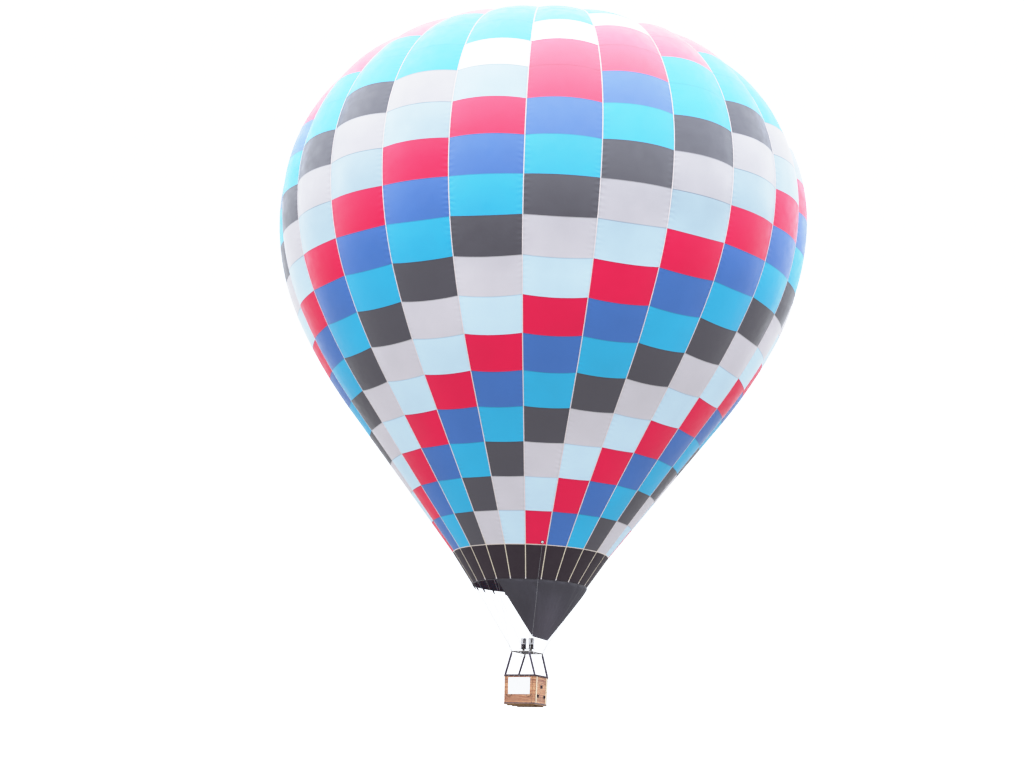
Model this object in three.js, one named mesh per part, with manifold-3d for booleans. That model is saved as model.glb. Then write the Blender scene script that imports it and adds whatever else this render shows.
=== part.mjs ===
// A hot air balloon in flight: sewn envelope, scoop, parachute vent, flying wires, burner, wicker basket.
// Millimetres, +Z up. The origin is on the balloon's axis, at the height where the envelope is widest.
// Angles round the axis start at -Y and grow towards +X, so the first seam stands at firstSeam.
import * as THREE from "three";
import { mergeVertices } from "three/addons/utils/BufferGeometryUtils.js";
import Module from "manifold-3d";

const wasm = await Module();
wasm.setup();

const touch = 0.3; // between pieces that touch
const { degToRad: toRadians, lerp } = THREE.MathUtils;

const envelope = {
  gores: 24,
  facesPerGore: 3,
  firstSeam: 7.5,
  shell: 10,
  mouthRadius: 2110,
  panel: 1342, // one panel along a seam
  bulgeShare: 0.07, // how far a gore bulges out, as a share of its width
  bulgeFadeBelow: 16200,
  bulgeFadeAbove: 5000,
};

// Stretches of the outer profile from the mouth up. A straight one has a length, a round one a radius.
// Lean is the angle from the horizontal that the profile has at its upper end.
const band = { length: 1360, lean: 56 };
const stretches = [
  band,
  { length: 6700, lean: 52.4 },
  { radius: 19000, lean: 63.8 },
  { radius: 9600, lean: 90 },
  { radius: 7200, lean: 165 },
  { radius: 5600, lean: 180 },
  { length: 450, lean: 180 },
];

const vent = { overlap: 350, rise: 100, flatEdge: 60, thickness: 10 };
// The straps over the vent, from the crown ring to a little past the vent's edge.
const ventTape = { width: 40, thickness: 6, rise: 160, sewn: 250 };
const crownRing = { radius: 170, tube: 14, webbing: 40, webbingProud: 2, webbingBelow: 5 };
const hem = {
  height: 24,
  width: 26,
  inset: 8,
  tabLength: 130,
  tabWidth: 45,
  tabThickness: 8,
  tabLean: 36,
  tabInset: 6, // of a tape end's upper edge from the hem's middle
  tabBelow: 4, // of that edge from the hem's top
};
const scoop = {
  firstSeam: -7.5,
  gores: 8,
  thickness: 8,
  outset: 7, // of its upper edge from the hem's middle
  bottomWidth: 620,
  bottomReach: 1000, // from the axis
  bottomHeight: -15885,
  billow: 110,
};

const frame = { length: 1120, width: 760, height: -16305, tube: 40, round: 12, cornerRadius: 60 };
const socket = { radius: 34, depth: 60 };
// barSeat is how far a link's bar sits off the middle of an eye's hole, against its edge.
const eye = { thickness: 8, outer: 22, hole: 12, neck: 30, barSeat: 4.6 };
const link = { length: 120, width: 60, bar: 10, lean: 26 };
const thimbleHead = { length: 34, above: 14 }; // above the middle of its eye
const wire = { radius: 3, endGap: 1.4 }; // the gap is on its axis, so that a slanting end clears its tape
const gimbal = { radius: 312, tube: 11, bossRadius: 16, bossLength: 38, pinRadius: 8, boreRadius: 8.6 };
const bracket = { gap: 5, boreDepth: 40, pinReach: 30 };
const burner = {
  spacing: 310,
  plateLength: 540,
  plateWidth: 230,
  plateThickness: 14,
  plateHeight: 120, // above the pivots
  blockLength: 430,
  blockWidth: 90,
  blockHeight: 110,
  blockAbove: 20, // its middle, above the pivots
  stemRadius: 36,
  pinReach: 12, // past the gimbal ring's middle line
  canRadius: 106,
  canWall: 4,
  canFlange: 18, // that it stands on, turned inward
  canHeight: 225,
};
const coil = { radius: 99, turns: 5, pitch: 32, depth: 20, groove: 8, grooveHeight: 9 };
const handle = { drop: 95, reach: 170, dip: 25, splay: 20, rod: 7, knee: 9, grip: 14, gripLength: 110 };

const basket = {
  length: 1270,
  width: 1130,
  wall: 28,
  cornerRadius: 72,
  top: -17205,
  bottom: -18186,
  taper: 0.975, // of the bottom to the top
};
const rim = { roll: 72, proud: 17, round: 24 };
const floorThickness = 15;
const skid = { width: 70, height: 43, length: 1080, spacing: 400, count: 3 };
const upright = { radius: 44, inset: 44 }; // inset of its foot from the tub's outer face
// Foot holes in the short sides: place along the side, height above the tub's bottom.
const footHoles = [
  { along: -270, above: 290 },
  { along: 270, above: 290 },
  { along: 0, above: 640 },
];
const footHole = { width: 150, height: 100 };
// The shoulder is rounded: halfway up it still has shoulderShare of the radius.
const cylinder = {
  radius: 148,
  height: 640,
  shoulder: 90,
  shoulderShare: 0.86,
  footChamfer: 20,
  footHeight: 25,
  collarRadius: 80,
  collarHeight: 60,
  clear: 12,
};
const banner = { length: 880, height: 600, thickness: 4, below: 40 };

// Corners as signs along X and Y, in the order of the tape groups that they carry.
const corners = [
  { name: "right_front", x: 1, y: -1 },
  { name: "right_back", x: 1, y: 1 },
  { name: "left_back", x: -1, y: 1 },
  { name: "left_front", x: -1, y: -1 },
];

const finishes = {
  fabricBlue: { color: 0x2f62b5, roughness: 0.6, metalness: 0 },
  fabricCyan: { color: 0x25a3d8, roughness: 0.6, metalness: 0 },
  fabricRed: { color: 0xd01c48, roughness: 0.6, metalness: 0 },
  fabricBlack: { color: 0x26242a, roughness: 0.8, metalness: 0 },
  webbing: { color: 0xe9ddd6, roughness: 0.8, metalness: 0 },
  steel: { color: 0xb9bcc0, roughness: 0.3, metalness: 1 },
  aluminium: { color: 0xc8cace, roughness: 0.4, metalness: 1 },
  wicker: { color: 0xa9713c, roughness: 0.8, metalness: 0 },
  leather: { color: 0x3b2419, roughness: 0.6, metalness: 0 },
  padding: { color: 0x1d1d20, roughness: 0.9, metalness: 0 },
  wood: { color: 0xa98555, roughness: 0.7, metalness: 0 },
  grip: { color: 0x9c1f22, roughness: 0.5, metalness: 0 },
  cloth: { color: 0xf1f1ee, roughness: 0.8, metalness: 0 },
};

const balloon = new THREE.Group();

function addNode(name, geometry, finish) {
  const mesh = new THREE.Mesh(geometry, new THREE.MeshStandardMaterial(finishes[finish]));
  mesh.name = name;
  balloon.add(mesh);
  return mesh;
}

// A geometry as a solid for joining and cutting: shared points are merged and flat triangles dropped.
function toSolid(geometry) {
  const bare = geometry.clone();
  bare.deleteAttribute("normal");
  bare.deleteAttribute("uv");
  const merged = mergeVertices(bare, 1e-3);
  const points = merged.index.array;
  const kept = [];
  for (let i = 0; i < points.length; i += 3) {
    const [a, b, c] = [points[i], points[i + 1], points[i + 2]];
    if (a !== b && b !== c && c !== a) kept.push(a, b, c);
  }
  const vertProperties = Float32Array.from(merged.attributes.position.array);
  return new wasm.Manifold(new wasm.Mesh({ numProp: 3, vertProperties, triVerts: Uint32Array.from(kept) }));
}

function toGeometry(solid) {
  const mesh = solid.getMesh();
  const geometry = new THREE.BufferGeometry();
  geometry.setAttribute("position", new THREE.BufferAttribute(mesh.vertProperties, 3));
  geometry.setIndex(new THREE.BufferAttribute(mesh.triVerts, 1));
  geometry.computeVertexNormals();
  return geometry;
}

function join(geometries) {
  return geometries.map(toSolid).reduce((whole, piece) => whole.add(piece));
}

function cut(solid, geometries) {
  return geometries.map(toSolid).reduce((rest, piece) => rest.subtract(piece), solid);
}

// A round bar between two points.
function bar(from, to, radius, sides = 12) {
  const along = new THREE.Vector3().subVectors(to, from);
  const geometry = new THREE.CylinderGeometry(radius, radius, along.length(), sides);
  const modelled = new THREE.Vector3(0, 1, 0);
  geometry.applyQuaternion(new THREE.Quaternion().setFromUnitVectors(modelled, along.normalize()));
  const middle = new THREE.Vector3().addVectors(from, to).multiplyScalar(0.5);
  return geometry.translate(middle.x, middle.y, middle.z);
}

// A box by its size and its middle.
function block(size, middle) {
  return new THREE.BoxGeometry(...size).translate(...middle);
}

// A profile of [radius, height] points turned round the Z axis.
function turned(points, sides, start = 0) {
  const outline = points.map(([radius, height]) => new THREE.Vector2(radius, height));
  return new THREE.LatheGeometry(outline, sides, start).rotateX(Math.PI / 2);
}

function roundedRectangle(length, width, radius, path = new THREE.Shape()) {
  const x = length / 2;
  const y = width / 2;
  path.moveTo(-x + radius, -y);
  path.lineTo(x - radius, -y);
  path.absarc(x - radius, -y + radius, radius, -Math.PI / 2, 0);
  path.lineTo(x, y - radius);
  path.absarc(x - radius, y - radius, radius, 0, Math.PI / 2);
  path.lineTo(-x + radius, y);
  path.absarc(-x + radius, y - radius, radius, Math.PI / 2, Math.PI);
  path.lineTo(-x, -y + radius);
  path.absarc(-x + radius, -y + radius, radius, Math.PI, Math.PI * 1.5);
  path.closePath();
  return path;
}

// A closed bar of round edges along a rounded rectangle, from its outer size, its middle at height zero.
function ringBar(length, width, radius, thickness, round) {
  const outer = roundedRectangle(length - 2 * round, width - 2 * round, radius - round);
  const inset = 2 * (thickness - round);
  const innerRadius = Math.max(radius - thickness + round, 5);
  const inner = roundedRectangle(length - inset, width - inset, innerRadius, new THREE.Path());
  outer.holes.push(inner);
  const depth = thickness - 2 * round;
  const options = { depth, bevelSize: round, bevelThickness: round, bevelSegments: 2, curveSegments: 3 };
  return new THREE.ExtrudeGeometry(outer, options).translate(0, 0, -depth / 2);
}

// The envelope's outer profile as a function of the length along it from the mouth.
const seamLength = stretches.reduce((sum, stretch, i) => sum + stretchLength(i), 0);
const rise = (sum, stretch, i) => sum + stretchStep(i, stretchLength(i)).z;
const mouthHeight = -stretches.slice(0, 4).reduce(rise, 0); // the widest place is where the fourth one ends

function stretchLength(i) {
  const { length, radius, lean } = stretches[i];
  return length ?? radius * toRadians(lean - stretches[i - 1].lean);
}

// How far the profile goes out and up over the first part of a stretch, and its lean there in radians.
function stretchStep(i, part) {
  const { length, radius } = stretches[i];
  const end = toRadians(stretches[i].lean);
  if (length) return { r: part * Math.cos(end), z: part * Math.sin(end), lean: end };
  const from = toRadians(stretches[i - 1].lean);
  const lean = from + part / radius;
  const r = radius * (Math.sin(lean) - Math.sin(from));
  return { r, z: radius * (Math.cos(from) - Math.cos(lean)), lean };
}

function profileAt(station) {
  let [r, z, rest] = [envelope.mouthRadius, mouthHeight, station];
  for (let i = 0; i < stretches.length; i += 1) {
    const last = i === stretches.length - 1;
    const part = last ? rest : Math.min(rest, stretchLength(i));
    const step = stretchStep(i, part);
    r += step.r;
    z += step.z;
    rest -= part;
    if (last || rest <= 0) return { r, z, outR: Math.sin(step.lean), outZ: -Math.cos(step.lean) };
  }
}

// How far the middle of a gore stands out of the seams' surface.
function bulgeAt(station) {
  const width = 2 * profileAt(station).r * Math.sin(Math.PI / envelope.gores);
  const collar = stretches.at(-1).length;
  const above = (seamLength - collar - station) / envelope.bulgeFadeAbove;
  const fade = THREE.MathUtils.clamp(Math.min(station / envelope.bulgeFadeBelow, above), 0, 1);
  return envelope.bulgeShare * width * fade;
}

// A ring of the envelope through a row of stations, its gores bulging between the seams.
function shellRing(stations) {
  const loop = [...stations, ...stations.toReversed(), stations[0]].map((station, k) => {
    const inside = k >= stations.length && k < 2 * stations.length;
    const { r, z, outR, outZ } = profileAt(station);
    const depth = inside ? envelope.shell : 0;
    return { r: r - outR * depth, z: z - outZ * depth, outR, outZ, bulge: bulgeAt(station) };
  });
  const columns = envelope.gores * envelope.facesPerGore;
  const outline = loop.map(({ r, z }) => new THREE.Vector2(r, z));
  const geometry = new THREE.LatheGeometry(outline, columns, toRadians(envelope.firstSeam));
  const position = geometry.attributes.position;
  for (let i = 0; i < position.count; i += 1) {
    const column = Math.floor(i / loop.length) % columns;
    const { r, z, outR, outZ, bulge } = loop[i % loop.length];
    const across = (column % envelope.facesPerGore) / envelope.facesPerGore;
    const out = bulge * 4 * across * (1 - across);
    const angle = toRadians(envelope.firstSeam) + (column * 2 * Math.PI) / columns;
    const radius = r + outR * out;
    position.setXYZ(i, radius * Math.sin(angle), z + outZ * out, radius * Math.cos(angle));
  }
  return geometry.rotateX(Math.PI / 2);
}

// The point at an angle from -Y and a distance from the axis.
function polar(degrees, radius, z) {
  const angle = toRadians(degrees);
  return new THREE.Vector3(radius * Math.sin(angle), -radius * Math.cos(angle), z);
}

function addEnvelope() {
  const collarStart = seamLength - stretches.at(-1).length;
  // Sections from the mouth up: the last row of panels in each, its steps and its finish.
  const sections = [
    { name: "envelope_lower_band", lastRow: 0, steps: 1, finish: "fabricBlack" },
    { name: "envelope_cone_lower", lastRow: 2, steps: 1, finish: "fabricRed" },
    { name: "envelope_cone_upper", lastRow: 5, steps: 1, finish: "fabricBlue" },
    { name: "envelope_shoulder_lower", lastRow: 8, steps: 2, finish: "fabricCyan" },
    { name: "envelope_shoulder_upper", lastRow: 11, steps: 2, finish: "fabricRed" },
    { name: "envelope_dome_lower", lastRow: 14, steps: 2, finish: "fabricBlue" },
    { name: "envelope_dome_middle", lastRow: 17, steps: 2, finish: "fabricCyan" },
    { name: "envelope_dome_upper", lastRow: Infinity, steps: 3, finish: "fabricRed" },
  ];
  let from = 0;
  for (const { name, lastRow, steps, finish } of sections) {
    const seam = band.length + lastRow * envelope.panel;
    const to = Math.min(seam - touch, collarStart);
    const stations = Array.from({ length: steps + 1 }, (_, k) => from + (k * (to - from)) / steps);
    if (to === collarStart) stations.push(seamLength);
    addNode(name, shellRing(stations), finish);
    from = seam;
  }
}

// The vent's radius, and the height of the envelope's outer face round it.
const { r: ventRadius, z: crownHeight } = profileAt(seamLength);

// The parachute: a loose round panel that seals the vent from inside, domed a little by the air under it.
function addParachute() {
  const seat = crownHeight - envelope.shell - touch;
  const edge = ventRadius + vent.overlap;
  const inner = ventRadius - vent.flatEdge;
  const domed = [0.66, 0.33, 0].map((share) => [inner * share, seat + vent.rise * (1 - share * share)]);
  const top = [[edge, seat], [inner, seat], ...domed];
  const underside = top.toReversed().map(([radius, height]) => [radius, height - vent.thickness]);
  addNode("parachute_vent", turned([...underside, ...top], 48), "fabricCyan");
}

// The load tapes that cross the vent to the crown ring, joined by the webbing round that ring.
function addCrown() {
  const lift = (radius) => {
    const share = Math.min(radius / ventRadius, 1);
    return crownHeight + touch + ventTape.rise * (1 - share * share);
  };
  const ringHeight = lift(0);
  const inner = crownRing.radius + crownRing.tube + touch;
  const outer = inner + crownRing.webbing;
  const low = ringHeight - crownRing.webbingBelow;
  const high = ringHeight + ventTape.thickness + crownRing.webbingProud;
  const webbing = turned(
    [
      [inner, low],
      [outer, low],
      [outer, high],
      [inner, high],
      [inner, low],
    ],
    48,
  );
  const pieces = [webbing];
  const [start, end] = [(inner + outer) / 2, ventRadius + ventTape.sewn];
  for (let gore = 0; gore < envelope.gores; gore += 1) {
    const strap = new THREE.BoxGeometry(1, ventTape.width, ventTape.thickness, 3, 1, 1);
    const position = strap.attributes.position;
    for (let i = 0; i < position.count; i += 1) {
      const radius = lerp(start, end, position.getX(i) + 0.5);
      position.setX(i, radius);
      position.setZ(i, lift(radius) + ventTape.thickness / 2 + position.getZ(i));
    }
    pieces.push(strap.rotateZ(toRadians(seamAngle(gore) - 90)));
  }
  addNode("vent_tapes", toGeometry(join(pieces)), "webbing");
  const ring = new THREE.TorusGeometry(crownRing.radius, crownRing.tube, 8, 24);
  addNode("crown_ring", ring.translate(0, 0, ringHeight + ventTape.thickness / 2), "aluminium");
}

const seamAngle = (i) => envelope.firstSeam + (i * 360) / envelope.gores;
const seamAngles = Array.from({ length: envelope.gores }, (_, i) => seamAngle(i));
const hemTop = mouthHeight - touch;
const hemMiddle = envelope.mouthRadius - hem.inset;
const tabTop = { radius: hemMiddle - hem.tabInset, height: hemTop - hem.tabBelow };

// A point on the middle line of the tape end at an angle round the axis, so far down from the hem.
function onTab(angle, down) {
  const lean = toRadians(hem.tabLean);
  return polar(angle, tabTop.radius - down * Math.sin(lean), tabTop.height - down * Math.cos(lean));
}

// The mouth's webbing hem with the lower ends of the load tapes, where the flying wires fasten.
function addHem() {
  const inner = hemMiddle - hem.width / 2;
  const outer = hemMiddle + hem.width / 2;
  const ring = turned(
    [
      [inner, hemTop - hem.height],
      [outer, hemTop - hem.height],
      [outer, hemTop],
      [inner, hemTop],
      [inner, hemTop - hem.height],
    ],
    2 * envelope.gores,
    toRadians(envelope.firstSeam),
  );
  const tabs = seamAngles.map((angle) => {
    const { x, y, z } = onTab(angle, hem.tabLength / 2);
    const tab = block([hem.tabWidth, hem.tabThickness, hem.tabLength], [0, 0, 0]);
    return tab.rotateX(toRadians(hem.tabLean)).rotateZ(toRadians(angle)).translate(x, y, z);
  });
  addNode("mouth_hem", toGeometry(join([ring, ...tabs])), "webbing");
}

// The scoop: a sheet from part of the mouth down to a short straight edge beside the burner.
function addScoop() {
  const [columns, rows] = [16, 6];
  const sweep = (scoop.gores * 360) / envelope.gores;
  const middle = scoop.firstSeam + sweep / 2;
  const side = polar(middle + 90, 1, 0);
  const topHeight = hemTop - hem.height - touch;
  const sheet = new THREE.BoxGeometry(1, 1, 1, columns, rows, 1);
  const position = sheet.attributes.position;
  for (let i = 0; i < position.count; i += 1) {
    const across = position.getX(i) + 0.5;
    const down = 0.5 - position.getY(i);
    const out = position.getZ(i) * scoop.thickness;
    const top = polar(scoop.firstSeam + across * sweep, hemMiddle + scoop.outset, topHeight);
    const bottom = polar(middle, scoop.bottomReach, scoop.bottomHeight);
    bottom.addScaledVector(side, (across - 0.5) * scoop.bottomWidth);
    const outward = polar(scoop.firstSeam + across * sweep, 1, 0);
    const point = top.lerp(bottom, down);
    point.addScaledVector(outward, out + scoop.billow * Math.sin(Math.PI * down));
    position.setXYZ(i, point.x, point.y, point.z);
  }
  addNode("scoop", sheet, "fabricBlack");
}

// A flat plate with an eye, its hole along X, its neck down from the hole.
function eyePlate(neck) {
  const outline = new THREE.Shape();
  outline.moveTo(eye.outer, -neck);
  outline.lineTo(eye.outer, 0);
  outline.absarc(0, 0, eye.outer, 0, Math.PI);
  outline.lineTo(-eye.outer, -neck);
  outline.closePath();
  const hole = new THREE.Path();
  hole.absarc(0, 0, eye.hole, 0, Math.PI * 2, true);
  outline.holes.push(hole);
  const options = { depth: eye.thickness, bevelEnabled: false, curveSegments: 6 };
  const plate = new THREE.ExtrudeGeometry(outline, options);
  return plate.translate(0, 0, -eye.thickness / 2).rotateX(Math.PI / 2).rotateZ(Math.PI / 2);
}

// A closed link in the XZ plane, its length along Z and its lower bar at height zero.
function linkRing() {
  const stadium = (length, width, path) => {
    const radius = width / 2;
    const straight = length / 2 - radius;
    path.moveTo(radius, -straight);
    path.lineTo(radius, straight);
    path.absarc(0, straight, radius, 0, Math.PI);
    path.lineTo(-radius, -straight);
    path.absarc(0, -straight, radius, Math.PI, Math.PI * 2);
    path.closePath();
    return path;
  };
  const outline = stadium(link.length, link.width, new THREE.Shape());
  outline.holes.push(stadium(link.length - 2 * link.bar, link.width - 2 * link.bar, new THREE.Path()));
  const ring = new THREE.ExtrudeGeometry(outline, { depth: link.bar, bevelEnabled: false, curveSegments: 6 });
  return ring.translate(0, (link.length - link.bar) / 2, -link.bar / 2).rotateX(Math.PI / 2);
}

const frameCorner = { x: (frame.width - frame.tube) / 2, y: (frame.length - frame.tube) / 2 };

// Turns and places something modelled upright at a frame corner, leaning out along that corner's wires.
function atCorner(geometry, corner, along) {
  const heading = Math.atan2(corner.y, corner.x);
  const lean = toRadians(link.lean);
  const out = frame.tube / 2 + along;
  return geometry
    .rotateZ(Math.PI / 2)
    .translate(0, 0, out)
    .rotateY(lean)
    .rotateZ(heading)
    .translate(corner.x * frameCorner.x, corner.y * frameCorner.y, frame.height);
}

// Heights above the frame's tube, along a corner's link.
const lowerEye = eye.neck;
const linkFoot = lowerEye + eye.barSeat;
const upperEye = linkFoot + link.length - link.bar + eye.barSeat;

function addSuspension() {
  corners.forEach((corner, i) => {
    addNode(`karabiner_${corner.name}`, atCorner(linkRing(), corner, linkFoot), "steel");
    const thimble = atCorner(eyePlate(eye.outer), corner, upperEye);
    const headBox = new THREE.BoxGeometry(eye.thickness, 2 * eye.outer, thimbleHead.length);
    headBox.translate(0, 0, thimbleHead.above + thimbleHead.length / 2);
    const head = atCorner(headBox, corner, upperEye);
    const start = new THREE.Vector3();
    head.computeBoundingBox();
    head.boundingBox.getCenter(start);
    const wires = Array.from({ length: envelope.gores / 4 }, (_, k) => {
      const angle = seamAngle(k) + i * 90;
      return bar(start, onTab(angle, hem.tabLength + wire.endGap), wire.radius, 6);
    });
    addNode(`flying_wires_${corner.name}`, toGeometry(join([thimble, head, ...wires])), "steel");
  });
}

// The load frame: a tube with a socket and a lifting eye at each corner and a gimbal bracket at each end.
function addFrame() {
  const tube = ringBar(frame.width, frame.length, frame.cornerRadius, frame.tube, frame.round);
  const pieces = [tube.translate(0, 0, frame.height)];
  const bores = [];
  for (const corner of corners) {
    const x = corner.x * frameCorner.x;
    const y = corner.y * frameCorner.y;
    const top = new THREE.Vector3(x, y, frame.height);
    pieces.push(bar(new THREE.Vector3(x, y, frame.height - socket.depth), top, socket.radius, 12));
    pieces.push(atCorner(eyePlate(eye.neck + frame.tube / 2), corner, lowerEye));
  }
  for (const side of [-1, 1]) {
    const inner = side * (gimbal.radius + gimbal.bossLength / 2 + bracket.gap);
    const outer = side * (frame.length / 2 - frame.tube / 2);
    const [from, to] = [inner, outer].map((y) => new THREE.Vector3(0, y, frame.height));
    pieces.push(bar(from, to, gimbal.bossRadius, 12));
    const deep = new THREE.Vector3(0, inner + side * bracket.boreDepth, frame.height);
    const before = new THREE.Vector3(0, inner - side * bracket.gap, frame.height);
    bores.push(bar(before, deep, gimbal.boreRadius, 12));
  }
  addNode("burner_load_frame", toGeometry(cut(join(pieces), bores)), "steel");
}

// The gimbal ring turns on pins along Y in the frame and carries the burner's pins along X.
function addGimbalRing() {
  const height = frame.height;
  const reach = gimbal.bossLength / 2;
  const pieces = [new THREE.TorusGeometry(gimbal.radius, gimbal.tube, 8, 32).translate(0, 0, height)];
  const bores = [];
  for (const side of [-1, 1]) {
    const at = (x, y) => new THREE.Vector3(side * x, side * y, height);
    const pinEnd = gimbal.radius + reach + bracket.gap + bracket.pinReach;
    pieces.push(bar(at(gimbal.radius - reach, 0), at(gimbal.radius + reach, 0), gimbal.bossRadius, 12));
    pieces.push(bar(at(0, gimbal.radius - reach), at(0, gimbal.radius + reach), gimbal.bossRadius, 12));
    pieces.push(bar(at(0, gimbal.radius), at(0, pinEnd), gimbal.pinRadius, 12));
    const [boreStart, boreEnd] = [at(gimbal.radius - 2 * reach, 0), at(gimbal.radius + 2 * reach, 0)];
    bores.push(bar(boreStart, boreEnd, gimbal.boreRadius, 12));
  }
  addNode("gimbal_ring", toGeometry(cut(join(pieces), bores)), "steel");
}

// The burner: a valve block on pins, a base plate, and over it two vaporising coils, each in its open can.
function addBurner() {
  const pivot = frame.height;
  const plateMiddle = pivot + burner.plateHeight + burner.plateThickness / 2;
  const blockMiddle = pivot + burner.blockAbove;
  const pieces = [
    block([burner.plateLength, burner.plateWidth, burner.plateThickness], [0, 0, plateMiddle]),
    block([burner.blockLength, burner.blockWidth, burner.blockHeight], [0, 0, blockMiddle]),
  ];
  for (const side of [-1, 1]) {
    const at = (x, z) => new THREE.Vector3(side * x, 0, z);
    const middle = burner.spacing / 2;
    pieces.push(bar(at(middle, blockMiddle), at(middle, plateMiddle), burner.stemRadius, 16));
    pieces.push(bar(at(middle, pivot), at(gimbal.radius + burner.pinReach, pivot), gimbal.pinRadius, 12));
  }
  addNode("burner_block", toGeometry(join(pieces)), "aluminium");

  const coilFoot = plateMiddle + burner.plateThickness / 2 + touch;
  const coilTop = coilFoot + coil.turns * coil.pitch;
  for (const [name, side] of [["left", -1], ["right", 1]]) {
    const x = (side * burner.spacing) / 2;
    addNode(`burner_coil_${name}`, coilStack(coilFoot).translate(x, 0, 0), "steel");
    const inner = burner.canRadius - burner.canWall;
    const foot = coilTop + touch;
    const can = turned(
      [
        [inner - burner.canFlange, foot],
        [burner.canRadius, foot],
        [burner.canRadius, foot + burner.canHeight],
        [inner, foot + burner.canHeight],
        [inner, foot + burner.canWall],
        [inner - burner.canFlange, foot + burner.canWall],
        [inner - burner.canFlange, foot],
      ],
      24,
    );
    addNode(`burner_can_${name}`, can.translate(x, 0, 0), "steel");
    addNode(`blast_handle_${name}`, toGeometry(blastHandle(x, side)), "grip");
  }
}

// Stacked round turns of pipe, open in the middle.
function coilStack(foot) {
  const inner = coil.radius - coil.depth;
  const groove = coil.radius - coil.groove;
  const outline = [[inner, foot]];
  for (let turn = 0; turn < coil.turns; turn += 1) {
    const low = foot + turn * coil.pitch;
    const high = low + coil.pitch;
    outline.push([groove, low]);
    outline.push([coil.radius, low + coil.grooveHeight]);
    outline.push([coil.radius, high - coil.grooveHeight]);
  }
  const top = foot + coil.turns * coil.pitch;
  outline.push([groove, top], [inner, top], [inner, foot]);
  return turned(outline, 18);
}

// A lever under each valve, with a grip that a hand reaches from the basket.
function blastHandle(x, side) {
  const top = frame.height + burner.blockAbove - burner.blockHeight / 2 - touch;
  const knee = new THREE.Vector3(x, 0, top - handle.drop);
  const end = new THREE.Vector3(x + side * handle.splay, -handle.reach, knee.z - handle.dip);
  const gripStart = new THREE.Vector3().lerpVectors(end, knee, handle.gripLength / handle.reach);
  return join([
    bar(new THREE.Vector3(x, 0, top), knee, handle.rod, 10),
    new THREE.SphereGeometry(handle.knee, 12, 8).translate(knee.x, knee.y, knee.z),
    bar(knee, end, handle.rod, 10),
    bar(gripStart, end, handle.grip, 12),
  ]);
}

const rimTop = basket.top + touch + rim.roll;

function addUprights() {
  const low = { x: basket.length / 2 - upright.inset, y: basket.width / 2 - upright.inset };
  const headHeight = frame.height - socket.depth - touch;
  for (const corner of corners) {
    const foot = new THREE.Vector3(corner.x * low.x, corner.y * low.y, rimTop + touch);
    const head = new THREE.Vector3(corner.x * frameCorner.x, corner.y * frameCorner.y, headHeight);
    addNode(`upright_${corner.name}`, sleeve(foot, head), "padding");
  }
}

// A round padded sleeve with level ends, sheared between them.
function sleeve(foot, head) {
  const height = head.z - foot.z;
  const geometry = new THREE.CylinderGeometry(upright.radius, upright.radius, height, 16);
  geometry.rotateX(Math.PI / 2);
  const position = geometry.attributes.position;
  for (let i = 0; i < position.count; i += 1) {
    const share = position.getZ(i) / height + 0.5;
    const x = position.getX(i) + lerp(foot.x, head.x, share);
    const y = position.getY(i) + lerp(foot.y, head.y, share);
    position.setXYZ(i, x, y, lerp(foot.z, head.z, share));
  }
  return geometry;
}

function addBasket() {
  const outline = roundedRectangle(basket.length, basket.width, basket.cornerRadius);
  const inset = 2 * basket.wall;
  const inner = basket.cornerRadius - basket.wall;
  outline.holes.push(roundedRectangle(basket.length - inset, basket.width - inset, inner, new THREE.Path()));
  const height = basket.top - basket.bottom;
  const wall = new THREE.ExtrudeGeometry(outline, { depth: height, bevelEnabled: false, curveSegments: 4 });
  const position = wall.attributes.position;
  for (let i = 0; i < position.count; i += 1) {
    const z = position.getZ(i);
    const share = lerp(basket.taper, 1, z / height);
    position.setXYZ(i, position.getX(i) * share, position.getY(i) * share, z + basket.bottom);
  }
  const holes = footHoles.flatMap(({ along, above }) =>
    [-1, 1].map((side) => {
      const size = [4 * basket.wall, footHole.width, footHole.height];
      const share = lerp(basket.taper, 1, above / height);
      return block(size, [(side * share * (basket.length - basket.wall)) / 2, along, basket.bottom + above]);
    }),
  );
  addNode("basket_wall", toGeometry(cut(toSolid(wall), holes)), "wicker");

  const rimLength = basket.length + 2 * rim.proud;
  const rimWidth = basket.width + 2 * rim.proud;
  const roll = ringBar(rimLength, rimWidth, basket.cornerRadius + rim.proud, rim.roll, rim.round);
  addNode("basket_rim", roll.translate(0, 0, basket.top + touch + rim.roll / 2), "leather");

  const floorShape = roundedRectangle(
    basket.length * basket.taper,
    basket.width * basket.taper,
    basket.cornerRadius * basket.taper,
  );
  const options = { depth: floorThickness, bevelEnabled: false, curveSegments: 4 };
  const floor = new THREE.ExtrudeGeometry(floorShape, options);
  addNode("basket_floor", floor.translate(0, 0, basket.bottom - touch - floorThickness), "wood");

  const skidTop = basket.bottom - 2 * touch - floorThickness;
  for (let i = 0; i < skid.count; i += 1) {
    const y = (i - (skid.count - 1) / 2) * skid.spacing;
    const runner = block([skid.length, skid.width, skid.height], [0, y, skidTop - skid.height / 2]);
    addNode(`skid_${i + 1}`, runner, "wood");
  }
}

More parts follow.
